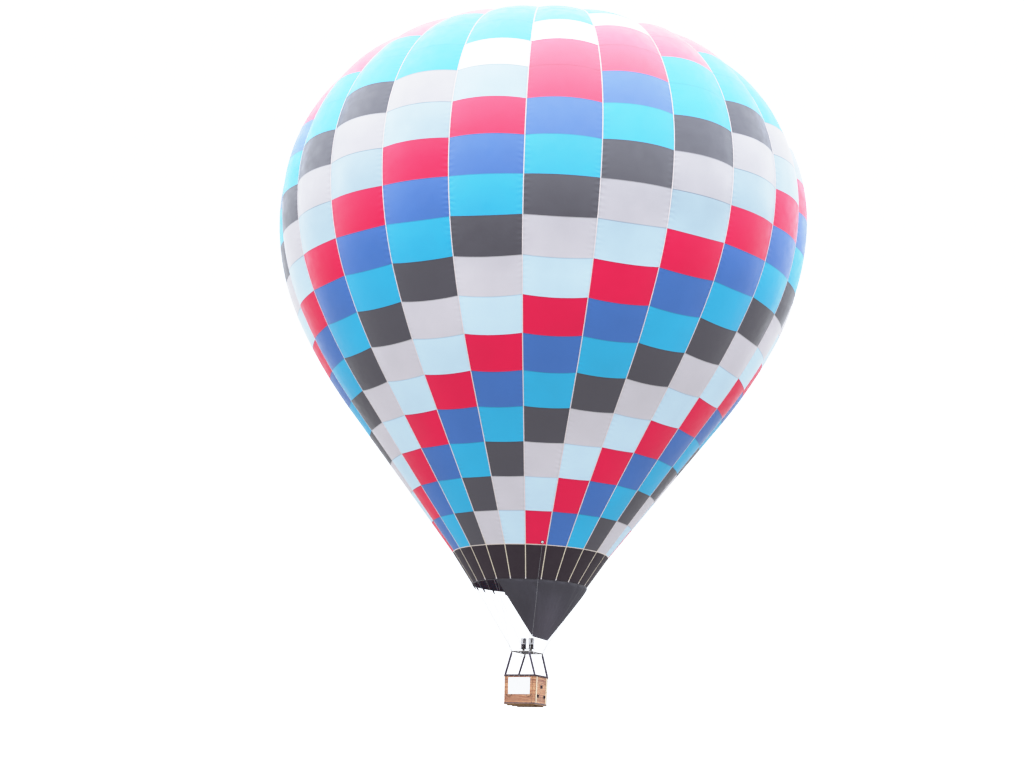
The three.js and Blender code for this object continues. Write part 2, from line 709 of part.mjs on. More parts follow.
function addCylinders() {
  const foot = basket.bottom + touch;
  const body = foot + cylinder.height;
  const shoulder = body + cylinder.shoulder;
  const profile = [
    [0, foot],
    [cylinder.radius - cylinder.footChamfer, foot],
    [cylinder.radius, foot + cylinder.footHeight],
    [cylinder.radius, body],
    [cylinder.radius * cylinder.shoulderShare, (body + shoulder) / 2],
    [cylinder.collarRadius, shoulder],
    [cylinder.collarRadius, shoulder + cylinder.collarHeight],
    [0, shoulder + cylinder.collarHeight],
  ];
  const reach = cylinder.radius + cylinder.clear + basket.wall;
  const x = (basket.length / 2) * basket.taper - reach;
  const y = (basket.width / 2) * basket.taper - reach;
  for (const corner of corners) {
    const geometry = turned(profile, 24).translate(corner.x * x, corner.y * y, 0);
    addNode(`fuel_cylinder_${corner.name}`, geometry, "aluminium");
  }
}

// A blank cloth on the front of the basket, hanging flat against the wall.
function addBanner() {
  const slope = ((1 - basket.taper) * basket.width) / 2 / (basket.top - basket.bottom);
  const cloth = new THREE.BoxGeometry(banner.length, banner.thickness, banner.height);
  const position = cloth.attributes.position;
  const middle = basket.top - banner.below - banner.height / 2;
  for (let i = 0; i < position.count; i += 1) {
    const z = middle + position.getZ(i);
    const face = basket.width / 2 - slope * (basket.top - z);
    position.setXYZ(i, position.getX(i), position.getY(i) - face - banner.thickness / 2 - touch, z);
  }
  addNode("banner_blank", cloth, "cloth");
}

addEnvelope();
addParachute();
addCrown();
addHem();
addScoop();
addSuspension();
addFrame();
addGimbalRing();
addBurner();
addUprights();
addBasket();
addCylinders();
addBanner();

export default balloon;
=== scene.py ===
import math
import bpy
from mathutils import Matrix, Vector, noise


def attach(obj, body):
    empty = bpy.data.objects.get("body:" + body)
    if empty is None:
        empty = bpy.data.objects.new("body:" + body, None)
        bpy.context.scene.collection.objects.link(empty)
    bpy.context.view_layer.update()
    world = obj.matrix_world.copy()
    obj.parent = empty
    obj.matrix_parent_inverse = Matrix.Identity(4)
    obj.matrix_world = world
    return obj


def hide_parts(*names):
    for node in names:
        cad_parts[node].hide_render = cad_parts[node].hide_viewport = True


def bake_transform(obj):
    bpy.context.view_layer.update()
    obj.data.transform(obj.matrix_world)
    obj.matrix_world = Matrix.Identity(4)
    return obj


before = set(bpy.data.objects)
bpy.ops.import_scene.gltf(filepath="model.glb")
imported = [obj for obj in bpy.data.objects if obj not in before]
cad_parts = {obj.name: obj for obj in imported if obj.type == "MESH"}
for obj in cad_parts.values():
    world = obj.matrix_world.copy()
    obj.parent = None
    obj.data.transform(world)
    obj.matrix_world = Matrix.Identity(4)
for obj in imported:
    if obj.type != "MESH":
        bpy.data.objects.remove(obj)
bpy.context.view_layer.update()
print("frame loaded:", len(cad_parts), "nodes")


# Small helpers

skyward = Vector((0, 0, 1))
poleRadius = 0.0001     # at the poles of a lathed form, which mergeDoubles closes


def pick(*pieces):
    # only these are selected, and the first one is active
    bpy.ops.object.select_all(action="DESELECT")
    for piece in pieces:
        piece.select_set(True)
    bpy.context.view_layer.objects.active = pieces[0]
    return pieces[0]


def edit(piece, operator, **settings):
    # one edit mode operator on the whole piece
    pick(piece)
    bpy.ops.object.mode_set(mode="EDIT")
    bpy.ops.mesh.select_all(action="SELECT")
    operator(**settings)
    bpy.ops.object.mode_set(mode="OBJECT")
    return piece


def mergeDoubles(piece, distance=0.0002):
    return edit(piece, bpy.ops.mesh.remove_doubles, threshold=distance)


def outward(piece):
    return edit(piece, bpy.ops.mesh.normals_make_consistent, inside=False)


def shape(piece, kind, **settings):
    # adds a modifier with these settings and applies it
    pick(piece)
    modifier = piece.modifiers.new(kind.title(), kind)
    for key, value in settings.items():
        setattr(modifier, key, value)
    bpy.ops.object.modifier_apply(modifier=modifier.name)
    return piece


def thicken(piece, thickness, offset=-1, **settings):
    return shape(piece, "SOLIDIFY", thickness=thickness, offset=offset, use_quality_normals=True, **settings)


def smooth(piece, degrees=30):
    pick(piece)
    bpy.ops.object.shade_smooth_by_angle(angle=math.radians(degrees))
    return piece


def named(piece, name):
    piece.name = piece.data.name = name
    return piece


def settle(piece):
    # puts the piece's place into its mesh
    piece.data.transform(piece.matrix_basis)
    piece.matrix_basis = Matrix.Identity(4)
    return piece


def dress(piece, *materials):
    piece.data.materials.clear()
    for material in materials:
        piece.data.materials.append(material)
    return piece


def joinPieces(pieces, name):
    first = pick(*pieces)
    if len(pieces) > 1:
        bpy.ops.object.join()
    return named(first, name)


def finish(pieces, name, material, slotName, *nodes, body="airframe"):
    # joins and dresses a finished piece and hangs it on its body; nodes are the CAD nodes that it replaces,
    # which it hides
    piece = joinPieces(pieces, name) if isinstance(pieces, list) else named(pieces, name)
    if material:
        dress(piece, material)      # else it wears its materials already
    if nodes:
        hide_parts(*nodes)
    if body:
        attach(piece, body)
    return piece


def turnedCopy(piece, name, degrees):
    # a copy with its own mesh, turned about Z
    other = piece.copy()
    other.data = piece.data.copy()
    bpy.context.collection.objects.link(other)
    other.data.transform(Matrix.Rotation(math.radians(degrees), 4, "Z"))
    return named(other, name)


def copiesRound(piece, count, first=0.0):
    # equal copies round the axis, in place of the one that is modelled
    copies = [turnedCopy(piece, f"{piece.name}{k}", first + 360 / count * k) for k in range(count)]
    bpy.data.objects.remove(piece)
    return copies


def mix(a, b, share):
    return a + (b - a) * share


def polar(degrees, radius, height):
    # a point at an angle from -Y towards +X
    angle = math.radians(degrees)
    return Vector((radius * math.sin(angle), -radius * math.cos(angle), height))


def swung(first, second, part):
    # part of a full turn from the first way towards the second, which stand square to each other
    turn = 2 * math.pi * part
    return first * math.cos(turn) + second * math.sin(turn)


def eased(points, parts=5):
    # more points on a smooth line through these
    found = []
    for k in range(len(points) - 1):
        a, b = points[max(k - 1, 0)], points[k]
        c, d = points[k + 1], points[min(k + 2, len(points) - 1)]
        for j in range(parts):
            t = j / parts
            found.append(0.5 * (2 * b + (c - a) * t + (2 * a - 5 * b + 4 * c - d) * t * t
                                + (3 * b - a - 3 * c + d) * t * t * t))
    return found + [points[-1]]


# Ways to make a piece

def layGrid(name, columns, rows, place, measure=None):
    # a plane of small faces, each corner moved to where place(across, along) says
    # measure(across, along) gives its UV in metres
    bpy.ops.object.select_all(action="DESELECT")
    bpy.ops.mesh.primitive_grid_add(x_subdivisions=columns, y_subdivisions=rows, size=1)
    sheet = named(bpy.context.object, name)
    places = [(corner.co.x + 0.5, corner.co.y + 0.5) for corner in sheet.data.vertices]
    if measure:
        flat = [measure(across, along) for across, along in places]
        for loop, spot in zip(sheet.data.loops, sheet.data.uv_layers.active.data):
            spot.uv = flat[loop.vertex_index]
    for corner, (across, along) in zip(sheet.data.vertices, places):
        corner.co = place(across, along)
    return sheet


def laid(width, length, middle=0.5):
    # a plain measure, counted across from this share of the width
    return lambda across, along: ((across - middle) * width, along * length)


def tube(name, points, radius, sides=8, closed=False):
    # a round bar or line through these points
    curve = bpy.data.curves.new(name, "CURVE")
    curve.dimensions = "3D"
    curve.bevel_depth = radius
    curve.bevel_resolution = max(0, (sides - 4) // 4)
    curve.use_fill_caps = True
    line = curve.splines.new("POLY")
    line.points.add(len(points) - 1)
    for spot, point in zip(line.points, points):
        spot.co = (*point, 1)
    line.use_cyclic_u = closed
    piece = bpy.data.objects.new(name, curve)
    bpy.context.collection.objects.link(piece)
    pick(piece)
    bpy.ops.object.convert(target="MESH")
    return smooth(named(bpy.context.object, name), 40)


def barBetween(name, start, end, radius, sides=20, bevel=0.0015):
    start, end = Vector(start), Vector(end)
    bpy.ops.object.select_all(action="DESELECT")
    bpy.ops.mesh.primitive_cylinder_add(vertices=sides, radius=radius, depth=(end - start).length,
                                        location=(start + end) / 2,
                                        rotation=(end - start).to_track_quat("Z", "Y").to_euler())
    piece = settle(named(bpy.context.object, name))
    if bevel:
        shape(piece, "BEVEL", width=bevel, segments=2, limit_method="ANGLE")
    return smooth(piece, 40)


def slab(name, size, middle, bevel=0.004, turn=(0, 0, 0)):
    bpy.ops.object.select_all(action="DESELECT")
    bpy.ops.mesh.primitive_cube_add(size=1, location=middle, rotation=turn)
    piece = named(bpy.context.object, name)
    piece.scale = size
    shape(settle(piece), "BEVEL", width=bevel, segments=3, limit_method="ANGLE")
    return smooth(piece, 40)


def roundSection(halfOut, halfUp, power=2.0, sides=8):
    # a section between an ellipse, power 2, and a box
    points = []
    for k in range(sides):
        a, b = math.cos(2 * math.pi * k / sides), math.sin(2 * math.pi * k / sides)
        points.append((halfOut * math.copysign(abs(a) ** (2 / power), a),
                       halfUp * math.copysign(abs(b) ** (2 / power), b)))
    return points


def flatRing(width, thickness=0.003):
    return [(-width, 0.0), (0.0, 0.0), (0.0, thickness), (-width, thickness)]


def sweep(name, columns, section, path, smoothAngle=30):
    # a closed section of (out, up) points carried round a closed path
    # path(part) gives a point, the way out and the way up
    loop = section + section[:1]

    def place(across, along):
        point, out, up = path(across % 1.0)
        a, b = loop[round(along * (len(loop) - 1))]
        return point + out * a + up * b

    lengths = [0.0]
    for (a, b), (c, d) in zip(loop, loop[1:]):
        lengths.append(lengths[-1] + math.hypot(c - a, d - b))
    around = sum((path(k / columns)[0] - path((k + 1) / columns % 1.0)[0]).length for k in range(columns))
    ring = layGrid(name, columns, len(loop) - 1, place,
                   lambda across, along: (lengths[round(along * (len(loop) - 1))], across * around))
    return smooth(outward(mergeDoubles(ring)), smoothAngle)


def ringPath(middle, first, second, radius, up):
    # a circle for sweep, in the plane of the first two ways
    def path(part):
        out = swung(first, second, part)
        return middle + out * radius, out, up
    return path


def levelRing(middle, radius):
    return ringPath(Vector(middle), polar(0, 1, 0), polar(90, 1, 0), radius, skyward)


def hoop(name, middle, axis, radius, tubeRadius, sides=24, around=8):
    # a ring of round bar about an axis
    axis = Vector(axis).normalized()
    first = axis.orthogonal().normalized()
    return sweep(name, sides, roundSection(tubeRadius, tubeRadius, 2, around),
                 ringPath(Vector(middle), first, axis.cross(first), radius, axis))


def lathe(name, profile, middle, axis=None, sides=48, smoothAngle=35):
    # a profile of (radius, height) turned about an axis, which is upright where none is given
    first, second, up = polar(0, 1, 0), polar(90, 1, 0), skyward
    if axis:
        first, up = axis.orthogonal().normalized(), axis
        second = axis.cross(first)

    def place(across, along):
        radius, height = profile[round(along * (len(profile) - 1))]
        return middle + up * height + swung(first, second, across) * max(radius, poleRadius)

    return smooth(outward(mergeDoubles(layGrid(name, sides, len(profile) - 1, place), 0.0003)), smoothAngle)


# Materials

def colourOf(red, green, blue):
    # a colour given as the eye reads it, 0 to 255
    def linear(value):
        value /= 255
        return value / 12.92 if value <= 0.04045 else ((value + 0.055) / 1.055) ** 2.4
    return (linear(red), linear(green), linear(blue), 1)


def shaded(colour, share):
    return tuple(channel * share for channel in colour[:3]) + (1,)


def connect(node, socket, value):
    # a link where the value comes from a node, and else a set number or colour
    value = getattr(value, "socket", value)
    if isinstance(value, bpy.types.NodeSocket):
        node.id_data.links.new(value, node.inputs[socket])
    else:
        node.inputs[socket].default_value = value


def addNode(tree, kind, inputs=None, **settings):
    made = tree.nodes.new("ShaderNode" + kind)
    for key, value in settings.items():
        setattr(made, key, value)
    for socket, value in (inputs or {}).items():
        connect(made, socket, value)
    return made


class Value:
    # a number that a node gives; arithmetic on it adds Math nodes to the tree

    def __init__(self, socket):
        self.socket = socket

    def math(self, operation, *others):
        made = addNode(self.socket.id_data, "Math", dict(enumerate((self, *others))), operation=operation)
        return Value(made.outputs[0])

    def __add__(self, other):
        return self.math("ADD", other)

    def __sub__(self, other):
        return self.math("SUBTRACT", other)

    def __mul__(self, other):
        return self.math("MULTIPLY", other)

    def __truediv__(self, other):
        return self.math("DIVIDE", other)

    def __pow__(self, other):
        return self.math("POWER", other)

    def __abs__(self):
        return self.math("ABSOLUTE")

    def spread(self, low, high, to=(0.0, 1.0)):
        # low..high spread over another range, and held there
        inputs = {0: self, 1: low, 2: high, 3: to[0], 4: to[1]}
        return Value(addNode(self.socket.id_data, "MapRange", inputs, clamp=True).outputs[0])

    def offMiddle(self):
        # how far it is from the middle between two whole numbers
        return abs(self.math("FRACT") - 0.5)


def newMaterial(name, colour, roughness=0.6, metallic=0.0, **sockets):
    material = bpy.data.materials.new(name)
    material.use_nodes = True
    material.diffuse_color = colour
    shader = material.node_tree.nodes["Principled BSDF"]
    sockets |= {"Base_Color": colour, "Roughness": roughness, "Metallic": metallic}
    for socket, value in sockets.items():
        connect(shader, socket.replace("_", " "), value)
    return material, material.node_tree, shader


def surfacePlace(tree):
    # how far across and along a piece, in metres, from its UV map
    measure = addNode(tree, "UVMap", uv_map="UVMap").outputs[0]
    return [Value(socket) for socket in addNode(tree, "SeparateXYZ", {0: measure}).outputs[:2]]


def objectPlace(tree, scale=(1, 1, 1)):
    place = addNode(tree, "TexCoord").outputs["Object"]
    return addNode(tree, "Mapping", {"Vector": place, "Scale": scale}).outputs[0]


def speckle(tree, place, scale, detail=3.0, roughness=0.5):
    inputs = {"Vector": place, "Scale": scale, "Detail": detail, "Roughness": roughness}
    return Value(addNode(tree, "TexNoise", inputs).outputs["Fac"])


def blendColours(tree, share, a, b, kind="MIX"):
    return addNode(tree, "Mix", {0: share, 6: a, 7: b}, data_type="RGBA", blend_type=kind).outputs[2]


def bumpOf(tree, shader, height, strength=0.3, distance=0.002):
    bump = addNode(tree, "Bump", {"Height": height, "Strength": strength, "Distance": distance})
    connect(shader, "Normal", bump.outputs[0])


cloth = {
    "ripstop": 0.006,       # a square of the heavier threads
    "threadEdge": 24,       # how sharply a thread stands out of its square
    "panel": 1.342,
    "bandLength": 1.360,
    "seamWidth": 0.014,
    "puckerLength": 0.21,   # along a load tape, from one gather to the next
    "puckerReach": 0.34,    # how far from the tape the gathers run out
    "topRows": (11.5, 14.5),      # where the painted shade of the upper rows sets in
    # rows where the painted glare sets in, and the near-white that it mixes towards
    "bleachRows": (15.5, 22.0),
    "bleachedTo": (0.9, 0.9, 0.92, 1),
    "fadedAt": 0.12,        # across the scoop, the middle of its painted lighter patch
}


def balloonCloth(name, colour, roughness=0.42, gathers=0.5, seamShade=-0.26, gloss=0.9,
                 glossTint=(1, 1, 1, 1), topTone=0.0, bleached=0.0, paintedLight=0.0):
    # coated ripstop nylon: squares of heavier thread, felled seams between rows, gathers beside load tapes
    # the upper rows can take painted shade and a painted whitish glare, and the lower middle of the scoop a
    # painted lighter patch
    material, tree, shader = newMaterial(name, colour, roughness, Specular_IOR_Level=gloss,
                                         Specular_Tint=glossTint, Sheen_Weight=0.04, Sheen_Roughness=0.4)
    across, along = surfacePlace(tree)
    fromTape = Value(addNode(tree, "Attribute", attribute_name="fromTape").outputs["Fac"])
    threads = [abs((way * (math.pi / cloth["ripstop"])).math("COSINE")) for way in (across, along)]
    threads = threads[0].math("MAXIMUM", threads[1]) ** cloth["threadEdge"]
    seamGap = ((along - cloth["bandLength"]) / cloth["panel"] + 20.5).offMiddle() * cloth["panel"]
    seam = seamGap.spread(cloth["seamWidth"] * 0.8, cloth["seamWidth"] * 1.4, (1.0, 0.0))
    place = objectPlace(tree)
    wave = (along * (2 * math.pi / cloth["puckerLength"]) + speckle(tree, place, 1.7) * 14.0).math("SINE")
    gather = wave * fromTape.spread(0.02, cloth["puckerReach"], (1.0, 0.0)) ** 1.6 * gathers
    bumpOf(tree, shader, gather * 4.5 + speckle(tree, place, 0.9, 2.0) * 8.0 + threads * 0.06, 0.35, 0.004)
    # tone: cloudy; darker beside tapes, painted shade of the tapes, and along seams, painted shade where the
    # doubled cloth lets less light through; the heavier threads a little lighter
    cloudy = speckle(tree, place, 0.55, 4.0).spread(0.3, 0.7, (-0.05, 0.05))
    # painted shade beside the tapes and along the seams
    tone = cloudy + fromTape.spread(0.0, 0.08, (-0.08, 0.0)) + seam * seamShade + 1.0 + threads * 0.04
    # painted shade: the upper rows darker, standing in for how the light falls on them
    if topTone:
        tone = tone + along.spread(*cloth["topRows"], (0.0, topTone))
    # painted light: the lower middle of the scoop lighter, standing in for the light that its folds catch
    if paintedLight:
        inMiddle = abs(across - cloth["fadedAt"]).spread(0.10, 0.80, (paintedLight, 0.0))
        tone = tone + inMiddle * along.spread(0.9, 2.1, (1.0, 0.0))
    shade = addNode(tree, "HueSaturation", {"Value": tone, "Color": colour}).outputs[0]
    # painted glare: the upper rows mixed towards white, as the bright sky washes them out
    if bleached:
        share = along.spread(*cloth["bleachRows"], (0.0, bleached))
        shade = blendColours(tree, share, shade, cloth["bleachedTo"])
    connect(shader, "Base Color", shade)
    uneven = speckle(tree, place, 3.0).spread(0.3, 0.7, (roughness - 0.06, roughness + 0.08))
    connect(shader, "Roughness", uneven)
    return material


def webbingMaterial(name, colour, aged=None):
    # woven tape: ribs across it, a darker stitched line along each edge, soiled a little
    # aged is its tone by the mouth
    material, tree, shader = newMaterial(name, colour, 0.75, Sheen_Weight=0.3, Sheen_Roughness=0.5)
    across, along = surfacePlace(tree)
    ribs = (along * (2 * math.pi / 0.004)).math("SINE")
    stitches = (along * (2 * math.pi / 0.012)).math("SINE").math("GREATER_THAN", -0.2)
    stitch = abs(abs(across) - 0.0125).spread(0.001, 0.002, (1.0, 0.0)) * stitches
    soil = speckle(tree, objectPlace(tree), 2.5, 4.0).spread(0.35, 0.75, (0.0, 0.22))
    tone = blendColours(tree, along.spread(1.25, 1.9, (1.0, 0.0)), colour, aged) if aged else colour
    dark = shaded(colour, 0.55)
    shade = blendColours(tree, soil, tone, dark)
    connect(shader, "Base Color", blendColours(tree, stitch * 0.5, shade, dark))
    bumpOf(tree, shader, ribs * 0.3 + stitch, 0.4, 0.001)
    return material


def metalMaterial(name, colour, roughness=0.3, scratch=60.0, stain=None, stainShare=0.5):
    # brushed metal with fine scratches and a stain from heat or weather
    material, tree, shader = newMaterial(name, colour, roughness, 1.0)
    cloud = speckle(tree, objectPlace(tree), 9.0, 5.0)
    lines = speckle(tree, objectPlace(tree, (scratch, scratch, scratch * 6)), 1.0, 2.0)
    tone = colour
    if stain:
        tone = blendColours(tree, cloud.spread(0.42, 0.72, (0.0, stainShare)), colour, stain)
    tone = blendColours(tree, lines.spread(0.3, 0.8, (0.0, 0.25)), tone, (0.2, 0.2, 0.2, 1), "MULTIPLY")
    connect(shader, "Base Color", tone)
    connect(shader, "Roughness", cloud.spread(0.3, 0.7, (roughness - 0.08, roughness + 0.15)))
    bumpOf(tree, shader, lines, 0.12, 0.0006)
    return material


def plainMaterial(name, colour, roughness, grain=40.0, depth=0.0012, strength=0.35, spread=0.25, **sockets):
    # an even material with a grain: leather, padded nylon, painted or moulded pieces
    material, tree, shader = newMaterial(name, colour, roughness, **sockets)
    place = objectPlace(tree)
    fine, broad = speckle(tree, place, grain, 5.0, 0.6), speckle(tree, place, grain / 14)
    dark = shaded(colour, 1 - spread)
    light = tuple(min(1.0, channel * (1 + spread) + 0.01) for channel in colour[:3]) + (1,)
    tone = blendColours(tree, broad.spread(0.3, 0.7), dark, light)
    connect(shader, "Base Color", blendColours(tree, fine.spread(0.3, 0.7, (0.0, 0.3)), tone, dark))
    connect(shader, "Roughness", fine.spread(0.3, 0.7, (roughness - 0.07, min(1.0, roughness + 0.12))))
    bumpOf(tree, shader, fine, strength, depth)
    return material


palette = {
    "red": colourOf(238, 4, 66),
    "blue": colourOf(50, 107, 187),
    "cyan": colourOf(10, 177, 228),
    "charcoal": colourOf(70, 66, 75),
    "grey": colourOf(213, 207, 212),
    "pale": colourOf(204, 232, 254),
    "white": colourOf(244, 245, 247),
    "black": colourOf(46, 33, 41),
    "scoop": colourOf(56, 52, 59),
}
colourOrder = ["blue", "red", "pale", "grey", "charcoal", "cyan"]       # climbs one row for each gore
topOrder = ["cyan", "red", "red", "white", "cyan", "cyan"]              # from topRow up
topRow = 14
clothNames = ["red", "blue", "cyan", "charcoal", "grey", "pale", "white", "black"]
clothChoices = {
    # red, cyan and blue take painted glare in their upper rows
    "red": {"glossTint": (1, 0.5, 0.75, 1), "bleached": 0.22},
    "cyan": {"bleached": 0.08},
    "blue": {"bleached": 0.12},
    # grey and pale take painted shade in their upper rows
    "grey": {"topTone": -0.29},
    "pale": {"topTone": -0.39},
    "black": {"roughness": 0.75, "gathers": 0.3, "gloss": 0.45},
}
cloths = {tint: balloonCloth(tint + "RipstopNylon", palette[tint], **clothChoices.get(tint, {}))
          for tint in clothNames}
# the scoop's lower middle takes a painted lighter patch
scoopCloth = balloonCloth("scoopFireproofCloth", palette["scoop"], 0.7, 0.3, 0.0, gloss=0.45, paintedLight=0.9)
paleWebbing = webbingMaterial("paleWebbing", colourOf(238, 226, 226))
creamWebbing = webbingMaterial("creamGirthTape", colourOf(236, 220, 208))
loadTape = webbingMaterial("agedLoadTape", colourOf(238, 226, 226), aged=colourOf(234, 218, 190))
darkWebbing = webbingMaterial("darkWebbing", colourOf(36, 28, 34))
print("materials for cloth made")


# Metals and the small finishes

brightSteel = metalMaterial("brightSteel", (0.62, 0.63, 0.65, 1), 0.22)
brushedSteel = metalMaterial("brushedSteel", (0.25, 0.235, 0.225, 1), 0.36, 40, (0.15, 0.12, 0.10, 1), 0.5)
canSteel = metalMaterial("polishedCanSteel", (0.50, 0.50, 0.52, 1), 0.16, 30, (0.26, 0.19, 0.13, 1), 0.55)
burntSteel = metalMaterial("burntCoilSteel", (0.10, 0.085, 0.08, 1), 0.38, 60, (0.16, 0.10, 0.16, 1), 0.6)
castAlloy = metalMaterial("blackenedCastAlloy", (0.10, 0.10, 0.11, 1), 0.42, 30, (0.20, 0.19, 0.19, 1), 0.5)
brightAlloy = metalMaterial("brightAlloy", (0.62, 0.63, 0.64, 1), 0.33, 50)
brass = metalMaterial("valveBrass", (0.55, 0.40, 0.18, 1), 0.3, 40)
wireRope = metalMaterial("wireRope", (0.50, 0.50, 0.51, 1), 0.35, 200)
darkPlastic = plainMaterial("darkPlastic", (0.020, 0.020, 0.022, 1), 0.45, 120)
whitePlastic = plainMaterial("whitePlastic", (0.92, 0.92, 0.91, 1), 0.4, 90, spread=0.04)
redRubber = plainMaterial("redRubberGrip", (0.42, 0.02, 0.02, 1), 0.6, 160)
paleLine = plainMaterial("paleBraidedLine", (0.72, 0.70, 0.66, 1), 0.8, 260, 0.002, 0.6, 0.15)
greyLine = plainMaterial("greyBraidedLine", (0.30, 0.29, 0.30, 1), 0.8, 260, 0.002, 0.6, 0.15)
print("metals and small finishes made")


# Camera, light and floor

view = {
    "azimuth": 26.5,
    "distance": 65.47,
    "height": -22.195,
    "yaw": -0.824,
    "pitch": 13.773,
    "roll": 2.255,
    "lens": 1780 / 1024 * 36,
    "sensor": 36,
    "farthest": 600,
    "floorBelow": 0.06,
    "floorRadius": 450,
}
light = {
    "sky": 2.9,             # the bright half above, which washes out the upper rows
    "ground": 0.56,
    "horizon": (-0.12, 0.30),
    "skyTint": (0.90, 0.98, 1.10, 1),
    "white": 1.9,           # what the camera shows as white
    "behind": 1.12,         # of white, so that the view behind is plain
    "rollOff": [(0.25, 0.25), (0.5, 0.49), (1.0, 0.86), (1.4, 0.955)],
    "insideGlow": 1500,     # stands for the daylight that comes through the cloth
    "insideSize": 2.5,
    # strength, softness in degrees, turns
    "lamps": {"skyLight": (0.4, 90, (20, 0, -10)), "sideLight": (0.35, 60, (60, 0, -60))},
}


def linked(name, data):
    piece = bpy.data.objects.new(name, data)
    bpy.context.collection.objects.link(piece)
    return piece


def makeCamera():
    camera = linked("camera", bpy.data.cameras.new("camera"))
    camera.data.lens = view["lens"]
    camera.data.sensor_width = view["sensor"]
    camera.data.clip_end = view["farthest"]
    place = Matrix.Translation(polar(view["azimuth"], view["distance"], view["height"]))
    turns = ((view["azimuth"] - view["yaw"], "Z"), (90 + view["pitch"], "X"), (view["roll"], "Z"))
    for degrees, axis in turns:
        place = place @ Matrix.Rotation(math.radians(degrees), 4, axis)
    camera.matrix_basis = place
    bpy.context.scene.camera = camera


def makeStage():
    # the floor shows to the camera only: the light from below is the world's own
    bpy.ops.mesh.primitive_circle_add(vertices=96, radius=view["floorRadius"], fill_type="NGON",
                                      location=(0, 0, view["height"] - view["floorBelow"]))
    floor = settle(named(bpy.context.object, "studio_floor"))
    dress(floor, newMaterial("paleFloor", (0.30, 0.30, 0.295, 1), 0.8)[0])
    floor.visible_diffuse = floor.visible_glossy = floor.visible_transmission = floor.visible_shadow = False

    world = bpy.data.worlds.new("studio")
    world.use_nodes = True
    tree = world.node_tree
    upward = addNode(tree, "SeparateXYZ", {0: addNode(tree, "TexCoord").outputs["Generated"]}).outputs[2]
    skyShare = Value(upward).spread(*light["horizon"])
    glow = skyShare.spread(0.0, 1.0, (light["ground"], light["sky"]))
    seen = addNode(tree, "LightPath").outputs["Is Camera Ray"]
    glow = addNode(tree, "Mix", {0: seen, 2: glow, 3: light["white"] * light["behind"]}).outputs[0]
    connect(tree.nodes["Background"], 0, blendColours(tree, skyShare, (1, 1, 1, 1), light["skyTint"]))
    connect(tree.nodes["Background"], 1, glow)
    bpy.context.scene.world = world
    for name, (strength, softness, turns) in light["lamps"].items():
        lamp = linked(name, bpy.data.lights.new(name, "SUN"))
        lamp.data.energy = strength
        lamp.data.angle = math.radians(softness)
        lamp.rotation_euler = [math.radians(turn) for turn in turns]
    inside = linked("insideGlow", bpy.data.lights.new("insideGlow", "POINT"))
    inside.data.energy = light["insideGlow"]
    inside.data.shadow_soft_size = light["insideSize"]
    # bright values roll off as in a camera, so the pale panels near the top keep their colour
    shown = bpy.context.scene.view_settings
    shown.view_transform = "Standard"
    shown.use_curve_mapping = True
    shown.curve_mapping.white_level = [light["white"]] * 3
    for value, seenAs in light["rollOff"]:
        shown.curve_mapping.curves[3].points.new(value / light["white"], seenAs)
    shown.curve_mapping.update()
    print("camera, light and floor made")


makeCamera()
makeStage()


# Envelope

envelope = {
    "gores": 24,
    "firstSeam": 7.5,
    "mouthRadius": 2.110,
    "bulgeShare": 0.07,       # of a gore's width, where it bulges most
    "bulgeFull": 16.2,        # along the profile, where the air presses that hard
    "bulgeFadeAbove": 5.0,
    "columns": 12,
    "rowsPerPanel": 4,
    "clothThickness": 0.003,
    "seamWidth": 0.016,
    "seamProud": 0.002,
    # how far a seam between two rows hangs in the middle of its gore, by its station
    "seamSag": [(1.36, 0.0), (5.4, 0.015), (8.1, 0.05), (10.8, 0.066), (13.4, 0.048), (14.8, 0.022),
                (16.2, 0.0)],
}
# the profile from the mouth up: a straight length or a radius, and its lean at the upper end
stretches = [
    ("length", 1.360, 56.0),
    ("length", 6.700, 52.4),
    ("radius", 19.000, 63.8),
    ("radius", 9.600, 90.0),
    ("radius", 7.200, 165.0),
    ("radius", 5.600, 180.0),
    ("length", 0.450, 180.0),
]
sections = [
    # the CAD node that a section stands for, its last row
    ("envelope_lower_band", 0),
    ("envelope_cone_lower", 2),
    ("envelope_cone_upper", 5),
    ("envelope_shoulder_lower", 8),
    ("envelope_shoulder_upper", 11),
    ("envelope_dome_lower", 14),
    ("envelope_dome_middle", 17),
    ("envelope_dome_upper", 99),
]
goreAngle = 360 / envelope["gores"]


def stretchReach(i):
    kind, size, lean = stretches[i]
    return size if kind == "length" else size * math.radians(lean - stretches[i - 1][2])


def climb(i, part):
    # how far the profile goes out and up over part of a stretch, and its lean there
    kind, size, lean = stretches[i]
    if kind == "length":
        angle = math.radians(lean)
        return part * math.cos(angle), part * math.sin(angle), angle
    start = math.radians(stretches[i - 1][2])
    angle = start + part / size
    return size * (math.sin(angle) - math.sin(start)), size * (math.cos(start) - math.cos(angle)), angle


seamLength = sum(stretchReach(i) for i in range(len(stretches)))
collarStart = seamLength - stretches[-1][1]
mouthHeight = -sum(climb(i, stretchReach(i))[1] for i in range(4))      # the widest place is at the origin


def profileAt(station):
    # radius, height and the way out of the cloth, so far up a seam
    radius, height = envelope["mouthRadius"], mouthHeight
    for i in range(len(stretches)):
        last = i == len(stretches) - 1
        part = station if last else min(station, stretchReach(i))
        out, up, lean = climb(i, part)
        radius += out
        height += up
        station -= part
        if last or station <= 0:
            return radius, height, math.sin(lean), -math.cos(lean)


def goreWidth(station):
    return 2 * profileAt(station)[0] * math.sin(math.radians(goreAngle / 2))


